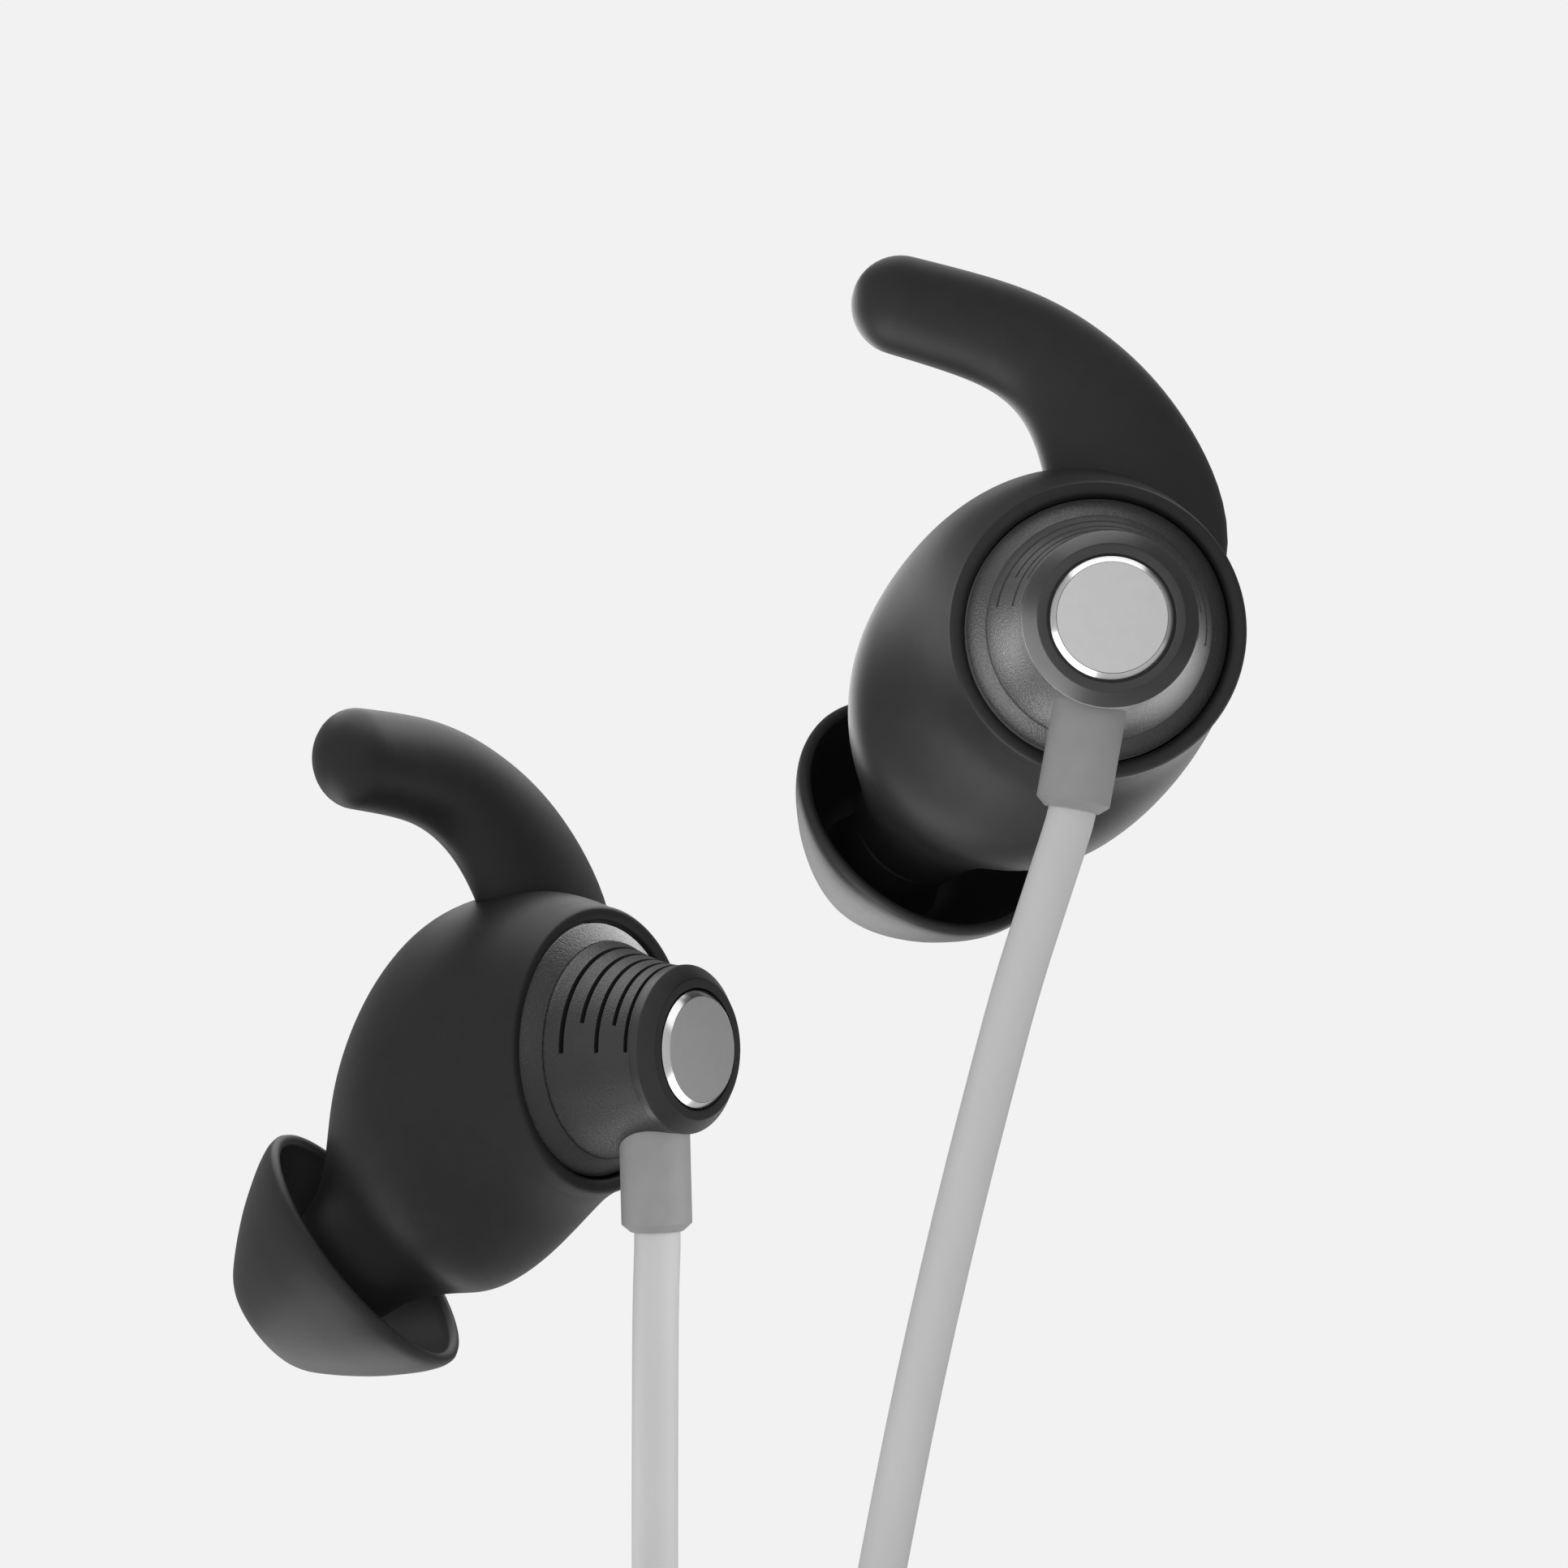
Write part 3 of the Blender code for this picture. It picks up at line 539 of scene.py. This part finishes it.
def nozzle_parts(side, local):
    """Rigid front shell with a barbed nozzle, and the mesh over its mouth."""
    steps = 64
    inside, shell = SLEEVE_WALL + 0.3, 0.75
    first, last = 10, 28           # the sleeve's stations that the shell runs through
    stations = eased_through(SLEEVE, 4)[first:last]
    centre, up, mouth_r = Vector((-0.2, 0.1, -0.9)), Vector((0, 0, 1)), 5.6
    mouth = [circle(centre, up, mouth_r, steps)]
    throat = [circle(centre, up, mouth_r - shell, steps)]
    outside = [sleeve_ring(s, inside, steps) for s in stations]
    inner = [sleeve_ring(s, inside + shell, steps) for s in stations]
    barb = ((1.45, -0.4), (1.45, 2.6), (1.66, 2.9), (1.66, 3.1), (1.45, 4.1),
            (1.38, 4.4), (1.08, 4.4), (1.0, 4.3), (1.0, -0.4))
    tube = [circle(TIP_CENTRE + NOZZLE_DIR * z, -NOZZLE_DIR, r, steps) for r, z in barb]
    body = piece(f"{side}_nozzle_shell",
                 loft(mouth + outside + tube + inner[::-1] + throat, joined=True),
                 MATS["housing"], local)
    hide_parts(f"{side}_front_housing")
    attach(body, "root")
    mesh = piece(f"{side}_nozzle_screen",
                 perforated_disc(radius=1.32, z=4.5, thick=0.18), MATS["steel"],
                 local @ axis_frame(TIP_CENTRE, NOZZLE_DIR))
    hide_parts(f"{side}_nozzle_mesh")
    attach(mesh, "root")


def perforated_disc(radius, z, thick):
    """A thin disc with rings of round holes, six more in each ring out."""
    pitch, hole_r, ring_count = 0.31, 0.1, 4
    bm = turned(((0.0, z), (radius, z, 0.05), (radius, z + thick, 0.05),
                 (0.0, z + thick)), 64, closed=False)
    holes = bmesh.new()
    for ring in range(ring_count):
        count = max(1, 6 * ring)
        for i in range(count):
            angle = math.tau * i / count
            place = Matrix.Translation((ring * pitch * math.cos(angle),
                                        ring * pitch * math.sin(angle), z + thick / 2))
            bmesh.ops.create_cone(holes, cap_ends=True, segments=12, radius1=hole_r,
                                  radius2=hole_r, depth=thick * 3, matrix=place)
    disc = piece("screen_disc", bm, MATS["steel"], Matrix())
    drill = piece("screen_drill", holes, MATS["steel"], Matrix())
    combined(disc, drill, "DIFFERENCE")
    done = bmesh.new()
    done.from_mesh(disc.data)
    bmesh.ops.scale(done, vec=(1 / MM,) * 3, verts=done.verts)
    bpy.data.objects.remove(disc)
    return done


# ---- rear shell, trims, metal disc and strain relief -------------------------
def rear_radius(z):
    """Outer radius of the trumpet-shaped rear shell at a place on the axis."""
    rise = max(0.0, min(1.0, (SHELL_END_Z - z) / FLARE_LENGTH))
    return NECK_R + (PARTING_R - NECK_R) * rise ** FLARE_POWER


def slit_depth(angle, z):
    """How far the shell's surface sinks where a slit runs."""
    from_top = abs((math.degrees(angle) - 90 + 180) % 360 - 180)
    for place, arc in SLITS:
        if abs(z - place) < SLIT_WIDTH / 2 - 0.01 and from_top < arc:
            return SLIT_DEPTH
    return 0.0


def rear_shell(side, local):
    """Trumpet-shaped shell. Its slits are sunk with close rings at their edges."""
    edge, wall, pitch, clear, half = 0.02, 0.75, 0.08, 0.05, SLIT_WIDTH / 2
    ring_count = int((SHELL_END_Z - SHELL_START_Z) / pitch) + 1
    stops = [SHELL_START_Z + pitch * k for k in range(ring_count)]
    stops = [z for z in stops
             if all(abs(z - place) > half + clear for place, _ in SLITS)]
    for place, _ in SLITS:
        stops += [place - half - edge, place - half, place - half + edge,
                  place + half - edge, place + half, place + half + edge]
    stops = sorted(stops) + [SHELL_END_Z]
    outer = [(rear_radius(z), z) for z in stops]
    outer[0] = (outer[0][0] - 0.03, outer[0][1])      # a slight chamfer at the flange
    inner = [(rear_radius(z) - wall, z)
             for z in (SHELL_END_Z, 3.8, 2.6, SHELL_START_Z)]

    def sink(angle, radius, z):
        outside = radius > rear_radius(z) - 0.1
        return radius - slit_depth(angle, z) if outside else radius

    shell = piece(f"{side}_rear_shell", turned(outer + inner, 240, bend=sink),
                  MATS["housing"], local, sharp=40)
    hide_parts(f"{side}_rear_housing")
    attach(shell, "root")


def trims(side, local):
    """Flange band, cap ring, and the metal disc with its polished bevel."""
    edge = FLANGE_R + 0.07
    flange = ((edge, 0.3, 0.08), (edge, -0.5, 0.1), (4.1, -0.5), (4.1, 0.6),
              (4.55, 1.02, 0.05), (PARTING_R, 1.03, 0.05))
    ring = ((3.6, 4.99), (NECK_R, 4.99), (NECK_R + 0.03, 5.42, 0.06),
            (3.18, CAP_TOP_Z, 0.05), (2.76, CAP_TOP_Z, 0.03), (2.76, 5.32),
            (1.5, 5.32), (1.5, 5.04))
    disc_face = ((0.0, DISC_TOP_Z), (DISC_R - 0.275, DISC_TOP_Z, 0.015),
                 (DISC_R - 0.27, DISC_TOP_Z - 0.2), (0.0, DISC_TOP_Z - 0.2))
    bevel = ((DISC_R, 5.5, 0.05), (DISC_R, 5.97, 0.03),
             (DISC_R - 0.26, DISC_TOP_Z, 0.02), (DISC_R - 0.265, 5.5))
    made = (
        ("flange_band", "flange_ring", flange, True, "housing", "housing_plastic"),
        ("cap_ring", "end_cap_ring", ring, True, "cap", "housing_plastic"),
        ("disc_face", "cap_disc", disc_face, False, "satin", "satin_metal"),
        ("disc_bevel", "cap_disc", bevel, True, "polished", "satin_metal"),
    )
    for name, node, outline, closed, mat, slot in made:
        obj = piece(f"{side}_{name}", turned(outline, 160, closed), MATS[mat], local,
                    sharp=25)
        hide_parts(f"{side}_{node}")
        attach(obj, "root")


def strain_relief(side, local):
    """Grey sleeve round the cord. Returns where the cord leaves it."""
    down = local @ axis_frame(Vector((0, 0, BOOT_Z)), Vector((0, -1, 0)))
    outline = ((0.0, BOOT_TOP), (BOOT_R, BOOT_TOP, 0.1),
               (BOOT_R, BOOT_END - 0.36, 0.04), (BOOT_R - 0.42, BOOT_END, 0.05),
               (1.08, BOOT_END, 0.03), (1.07, BOOT_END - 0.5), (0.0, BOOT_END - 0.5))
    boot = piece(f"{side}_relief_sleeve", turned(outline, 96, closed=False),
                 MATS["boot"], down, sharp=25)
    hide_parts(f"{side}_strain_relief")
    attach(boot, "root")
    return down @ Vector((0, 0, BOOT_END))


# ---- cords and what is on them -----------------------------------------------
def coil_points(tangent, height, side, layers, leave_side):
    """Turns of a round coil whose first turn continues a cord that comes straight down.

    layers are (turns so far, radius, place across the coil in pitches)."""
    outer = layers[0][1]
    centre = Vector((tangent[0] + side * outer, 0.0, height))
    points = []
    per_turn = 24
    total = layers[-1][0]
    for step in range(int(total * per_turn) + 1):
        turns = step / per_turn
        index = max(k for k in range(len(layers) - 1)
                    if layers[k][0] <= turns or k == 0)
        start, end = layers[index], layers[index + 1]
        t = (turns - start[0]) / (end[0] - start[0])
        eased = t * t * (3 - 2 * t)
        radius = start[1] + (end[1] - start[1]) * eased
        across = start[2] + (end[2] - start[2]) * t
        angle = math.pi + math.tau * turns
        points.append(centre + Vector((side * radius * math.cos(angle),
                                       tangent[1] + leave_side * across * COIL_PITCH,
                                       radius * math.sin(angle))))
    return points


def cord_piece(name, route, nodes):
    """A round cord along a route in millimetres, as one open spline."""
    points = curve_through(route, 3)
    curve = bpy.data.curves.new(name, "CURVE")
    curve.dimensions = "3D"
    spline = curve.splines.new("POLY")
    spline.points.add(len(points) - 1)
    for point, place in zip(spline.points, points):
        point.co = (*(place * MM), 1.0)
    curve.bevel_depth = CORD_D / 2 * MM
    curve.bevel_resolution = 6
    curve.use_fill_caps = True
    curve.materials.append(MATS["cord"])
    obj = bpy.data.objects.new(name, curve)
    bpy.context.scene.collection.objects.link(obj)
    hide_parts(*nodes)
    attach(obj, "root")
    length = sum((b - a).length for a, b in zip(points, points[1:])) * MM
    return obj, length


def branch_cord(side, exit_point, downward, middle, tangent, height, radius, hand,
                stack, splitter_x):
    """An earpiece's cord: down, through its coil, and into the splitter. The coil lies
    to the side that hand gives, and its turns stack the way that stack gives."""
    first = exit_point - downward * 0.4
    top = [first, exit_point + downward * 0.6] + [Vector(p) for p in middle]
    above = Vector((*tangent, height + 8.0))
    turns = coil_points(tangent, height, hand,
                        ((0, radius, 0), (TURNS_ACROSS, radius, TURNS_ACROSS)), stack)
    leave = tangent[1] + stack * TURNS_ACROSS * COIL_PITCH
    end_y = MAIN_TANGENT[1]
    low = height - math.sqrt((radius + COIL_PITCH / 2) ** 2
                             - (radius - CORD_D / 2) ** 2) - 0.3
    lower = [(tangent[0], leave, low), (tangent[0], leave, low - 2.5),
             ((tangent[0] * 2 + splitter_x) / 3, (leave * 2 + end_y) / 3, low - 8),
             ((tangent[0] + splitter_x * 4) / 5, (leave + end_y * 4) / 5, low - 14),
             (splitter_x, end_y, SPLITTER_TOP + 2.0),
             (splitter_x, end_y, SPLITTER_TOP - 0.3)]
    route = top + [above] + turns + [Vector(p) for p in lower]
    nodes = [f"{side}_{part}" for part in ("cord_upper", "coil", "cord_lower")]
    obj, length = cord_piece(f"{side}_cord", route, nodes)
    coil_tie(side)


def tie(name, node, centre, inner, wall, width):
    """Woven tie bent round a coil's turns, with its free end lying over the loop."""
    bm = bmesh.new()
    rows = []
    count, overlap, rise, power = 72, 10, 6, 2 / 7
    for i in range(count + overlap):
        angle = math.tau * i / count + math.pi / 4
        lap = wall * 1.05 * max(0.0, min(1.0, (i - count + rise) / rise))
        c, s = math.cos(angle), math.sin(angle)
        x = inner[0] / 2 * abs(c) ** power * math.copysign(1, c)
        y = inner[1] / 2 * abs(s) ** power * math.copysign(1, s)
        out = Vector((c, s, 0)).normalized()
        rows.append([Vector((x, y, 0)) + out * (lap + grow) + Vector((0, 0, z))
                     for grow, z in ((0, -width / 2), (wall, -width / 2),
                                     (wall, width / 2), (0, width / 2))])
    loops = [[bm.verts.new(p) for p in row] for row in rows]
    for low, high in zip(loops, loops[1:]):
        for i in range(4):
            j = (i + 1) % 4
            bm.faces.new((low[i], low[j], high[j], high[i]))
    bm.faces.new(loops[0])
    bm.faces.new(loops[-1])
    obj = piece(name, bm, MATS["tie"], Matrix.Translation(centre),
                sharp=50)
    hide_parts(node)
    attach(obj, "root")
    return obj


def coil_tie(name):
    """The tie in the space that its CAD node holds."""
    low, high = (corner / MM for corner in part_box(f"{name}_coil_tie"))
    centre, size = (low + high) / 2, high - low
    wall, room = 0.55, 1.6
    return tie(f"{name}_tie", f"{name}_coil_tie", centre,
               (size.x - room, size.y - room), wall, size.z)


def squared_oval(centre, wide, thick, steps, power=0.75):
    """Level ring of points between an oval and a rectangle."""
    def bulge(value):
        return math.copysign(abs(value) ** power, value)

    angles = (math.tau * i / steps for i in range(steps))
    return [centre + Vector((wide * bulge(math.cos(a)), thick * bulge(math.sin(a)), 0))
            for a in angles]


def splitter():
    """The Y-shaped joiner's body and the ribbed relief below it."""
    x, y = MAIN_TANGENT
    stations = curve_through(((0.0, 3.0, 1.6), (0.15, 3.3, 1.9), (0.7, 3.5, 2.1),
                              (4.0, 3.45, 2.12), (9.0, 3.0, 2.08), (12.3, 2.3, 1.92),
                              (12.85, 2.15, 1.78), (13.0, 1.9, 1.5)), 5)
    rings = [squared_oval(Vector((x, y, SPLITTER_TOP - drop)), wide, thick, 80)
             for drop, wide, thick in stations]
    body = piece("splitter_shell", loft(rings), MATS["housing"], Matrix())
    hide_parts("splitter_body")
    length = SPLITTER_END - RELIEF_END
    outline = [(0.0, 0.3), (1.7, 0.3, 0.1)]
    for rib in range(4):
        z = 0.9 + rib * 1.0
        outline += [(1.72 - rib * 0.07, z, 0.05), (1.45 - rib * 0.06, z + 0.15, 0.05),
                    (1.45 - rib * 0.06, z + 0.45, 0.05),
                    (1.7 - rib * 0.08, z + 0.6, 0.05)]
    outline += [(1.42, length, 0.1), (0.0, length)]
    relief = piece("splitter_boot", turned(outline, 64, closed=False), MATS["boot"],
                   axis_frame(Vector((x, y, SPLITTER_END)), Vector((0, 0, -1))))
    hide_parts("splitter_relief")
    for obj in (body, relief):
        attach(obj, "root")
    return [body, relief]


def jack_plug(top):
    """Ribbed relief, barrel, and three contacts parted by two insulating bands, in a line below the cord's end."""
    place = axis_frame(top, Vector((0, 0, -1)))
    shell, collar = 8.0, 20.0
    ribs = [(0.0, 0.0), (1.45, 0.0, 0.1)]
    for rib in range(5):
        z = 0.9 + rib * 1.3
        ribs += [(1.5 + rib * 0.08, z, 0.05), (1.3 + rib * 0.08, z + 0.2, 0.05),
                 (1.3 + rib * 0.08, z + 0.6, 0.05), (1.55 + rib * 0.08, z + 0.8, 0.05)]
    ribs += [(1.9, shell - 0.3, 0.05), (0.0, shell - 0.3)]
    body = ((0.0, shell), (2.9, shell, 0.2), (3.2, shell + 0.4, 0.2),
            (3.2, collar - 3.2, 0.05), (3.08, collar - 3.1, 0.03),
            (3.08, collar - 2.9, 0.03), (3.2, collar - 2.8, 0.05),
            (3.2, collar - 0.35, 0.12), (2.88, collar, 0.1), (1.95, collar, 0.05),
            (1.95, collar - 5.0), (0.0, collar - 5.0))
    made = (
        ("plug_boot", "plug_relief", ribs, "boot", "relief_rubber"),
        ("plug_barrel", "plug_shell", body, "housing", "housing_plastic"),
        ("plug_sleeve", "plug_sleeve_contact",
         ((0.0, collar - 4.7), (1.75, collar - 4.7), (1.75, collar + 6.5, 0.05),
          (0.0, collar + 6.5)), "polished", "satin_metal"),
        ("plug_band_one", "plug_first_insulator",
         ((0.0, collar + 6.6), (1.7, collar + 6.6, 0.03), (1.7, collar + 7.2, 0.03),
          (0.0, collar + 7.2)), "film", "film"),
        ("plug_ring", "plug_ring_contact",
         ((0.0, collar + 7.3), (1.75, collar + 7.3, 0.05), (1.75, collar + 9.4, 0.05),
          (0.0, collar + 9.4)), "polished", "satin_metal"),
        ("plug_band_two", "plug_second_insulator",
         ((0.0, collar + 9.5), (1.7, collar + 9.5, 0.03), (1.7, collar + 10.1, 0.03),
          (0.0, collar + 10.1)), "film", "film"),
        ("plug_tip", "plug_tip_contact",
         ((0.0, collar + 10.2), (1.62, collar + 10.2, 0.05), (1.5, collar + 10.7, 0.2),
          (1.15, collar + 11.4, 0.3), (1.72, collar + 12.4, 0.25),
          (0.9, collar + 13.8, 0.3), (0.0, collar + 14.0)), "polished", "satin_metal"),
    )
    pieces = []
    for name, node, outline, mat, slot in made:
        obj = piece(name, turned(outline, 72, closed=False), MATS[mat], place,
                    sharp=30)
        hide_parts(node)
        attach(obj, "root")
        pieces.append(obj)
    return pieces


def main_cord():
    """The cord from the splitter through its three-layer coil to the plug."""
    x, y = MAIN_TANGENT
    start = Vector((x, y, RELIEF_END))
    outer, middle, inner = MAIN_LAYERS
    layers = ((0, outer, 0), (4.0, outer, 4.0), (4.25, middle, 4.0),
              (8.25, middle, 0.0), (8.5, inner, 0.0), (12.4, inner, 3.9),
              (13.0, outer, 5.0))
    turns = coil_points(MAIN_TANGENT, MAIN_COIL_Z, 1, layers, -1)
    leave = y - (TURNS_ACROSS + 1) * COIL_PITCH
    ending = Vector((x, leave, PLUG_TOP))
    route = ([start + Vector((0, 0, 0.4)), start - Vector((0, 0, 2.0)),
              start - Vector((0, 0, 5.0))] + turns
             + [ending + Vector((0, 0, 9.0)), ending + Vector((0, 0, 4.0)),
                ending - Vector((0, 0, 0.3))])
    obj, length = cord_piece("main_cord", route,
                             ("main_cord_upper", "main_coil", "main_cord_lower"))
    plug = jack_plug(ending)
    plug + splitter() + [coil_tie("main")]


# ---- pieces inside the housings ----------------------------------------------
def inner_parts(side):
    """CAD nodes that keep their own shape and get a finished material."""
    looks = {"driver_frame": "housing", "driver_yoke": "steel",
             "driver_magnet": "polished", "driver_plate": "steel",
             "voice_coil": "copper", "diaphragm": "film", "terminal_board": "board",
             "cap_magnet": "steel", "cord_ferrule": "steel"}
    for node, mat in looks.items():
        obj = frame["nodes"][f"{side}_{node}"]
        obj.data.materials.clear()
        obj.data.materials.append(MATS[mat])


# ---- stage, light and camera -------------------------------------------------
def stage():
    """A pale round floor below the plug. It glows a little, as in a bright studio."""
    floor_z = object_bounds()[0][2] - FLOOR_DROP
    bpy.ops.mesh.primitive_circle_add(vertices=96, radius=FLOOR_R, fill_type="NGON",
                                      location=(0, 0, floor_z))
    floor = bpy.context.object
    floor.name = "floor"
    mat, shader = shader_of("floor_paint", (FLOOR_TONE,) * 3, 0.9)
    shader.inputs["Emission Color"].default_value = (1.0, 1.0, 1.0, 1.0)
    shader.inputs["Emission Strength"].default_value = FLOOR_GLOW
    floor.data.materials.append(mat)
    floor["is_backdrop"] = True


def math_node(tree, operation, *values):
    """A Math node whose inputs are sockets or plain numbers."""
    node = tree.nodes.new("ShaderNodeMath")
    node.operation = operation
    for socket, value in zip(node.inputs, values):
        if isinstance(value, (int, float)):
            socket.default_value = value
        else:
            tree.links.new(value, socket)
    return node.outputs[0]


def world_light():
    """Pale studio: even white to the camera. As light it is brighter from the left and
    the front, and weaker from behind."""
    world = bpy.data.worlds.new("studio")
    bpy.context.scene.world = world
    world.use_nodes = True
    tree = world.node_tree
    tree.nodes.clear()
    out = tree.nodes.new("ShaderNodeOutputWorld")
    seen, lit = (tree.nodes.new("ShaderNodeBackground") for _ in range(2))
    seen.inputs["Color"].default_value = (*(BACKDROP,) * 3, 1.0)
    place = tree.nodes.new("ShaderNodeTexCoord")
    split = tree.nodes.new("ShaderNodeSeparateXYZ")
    tree.links.new(place.outputs["Generated"], split.inputs[0])
    x, y = split.outputs["X"], split.outputs["Y"]
    across = math_node(tree, "MULTIPLY_ADD", x, -WORLD_LEFT, WORLD_MEAN)
    ahead = math_node(tree, "MAXIMUM", math_node(tree, "MULTIPLY", y, -1.0), 0.0)
    front = math_node(tree, "MULTIPLY_ADD", math_node(tree, "POWER", ahead, 2.0),
                      WORLD_FRONT, across)
    behind = math_node(tree, "MAXIMUM", y, 0.0)
    total = math_node(tree, "MULTIPLY_ADD", behind, WORLD_BACK, front)
    tree.links.new(total, lit.inputs["Strength"])
    path = tree.nodes.new("ShaderNodeLightPath")
    mix = tree.nodes.new("ShaderNodeMixShader")
    tree.links.new(path.outputs["Is Camera Ray"], mix.inputs[0])
    tree.links.new(lit.outputs[0], mix.inputs[1])
    tree.links.new(seen.outputs[0], mix.inputs[2])
    tree.links.new(mix.outputs[0], out.inputs[0])


def panel(name, shape, place, aim, size, radiance, lit_names, all_shadows):
    """Area light at a place in millimetres. It lights only the named pieces, and
    without all_shadows only they can shade each other from it."""
    light = bpy.data.lights.new(name, "AREA")
    light.shape = shape
    light.size = size * MM
    light.energy = radiance * math.pi * (size * MM) ** 2
    obj = bpy.data.objects.new(name, light)
    bpy.context.scene.collection.objects.link(obj)
    obj.location = place * MM
    obj.rotation_euler = aim.to_track_quat("-Z", "Y").to_euler()
    obj.visible_camera = False
    lit = bpy.data.collections.new(f"lit_by_{name}")
    for lit_name in lit_names:
        lit.objects.link(bpy.data.objects[lit_name])
    obj.light_linking.receiver_collection = lit
    if not all_shadows:
        obj.light_linking.blocker_collection = lit


def softbox(name, side, pieces, direction, size, radiance):
    """One row of LIGHTS, as the two earpieces were lit one at a time."""
    towards = Vector(direction).normalized()
    centre = (earpiece_frame(side).translation if side
              else Vector((*MAIN_TANGENT, SPLITTER_END - LOWER_AIM_DROP)))
    panel(f"{name}_{side}", "SQUARE", centre + towards * PANEL_DISTANCE, -towards, size,
          radiance, [f"{side}_{part}" if side else part for part in pieces],
          all_shadows=bool(set(pieces) & set(SILICONE)))


def neck_glow():
    local = earpiece_frame("left")
    panel("neck_glow", "DISK", local @ (TIP_CENTRE + NOZZLE_DIR * NECK_GLOW_PLACE),
          -(local.to_3x3() @ NOZZLE_DIR), NECK_GLOW_SIZE, NECK_GLOW,
          ["left_silicone_skin"], all_shadows=False)


def camera():
    data = bpy.data.cameras.new("camera")
    data.lens, data.sensor_width = LENS_MM, SENSOR_MM
    data.clip_start, data.clip_end = 0.01, 10.0
    obj = bpy.data.objects.new("camera", data)
    bpy.context.scene.collection.objects.link(obj)
    obj.location = CAMERA_PLACE
    obj.rotation_euler = (math.radians(90), 0, 0)
    bpy.context.scene.camera = obj


def main():
    bpy.context.scene.view_settings.view_transform = "Standard"
    exits = {}
    for side in ("left", "right"):
        local = earpiece_frame(side)
        silicone_skin(side, local)
        ear_tip(side, local)
        nozzle_parts(side, local)
        rear_shell(side, local)
        trims(side, local)
        exits[side] = (strain_relief(side, local), local.to_3x3() @ Vector((0, -1, 0)))
        inner_parts(side)
    branch_cord("left", *exits["left"], LEFT_ROUTE, LEFT_TANGENT, LEFT_COIL_Z,
                LEFT_COIL_R, -1, -1, MAIN_TANGENT[0] - SPLIT_APART)
    branch_cord("right", *exits["right"], RIGHT_ROUTE, RIGHT_TANGENT, RIGHT_COIL_Z,
                RIGHT_COIL_R, 1, 1, MAIN_TANGENT[0] + SPLIT_APART)
    main_cord()
    camera()
    world_light()
    for row in LIGHTS:
        softbox(*row)
    neck_glow()
    stage()


main()
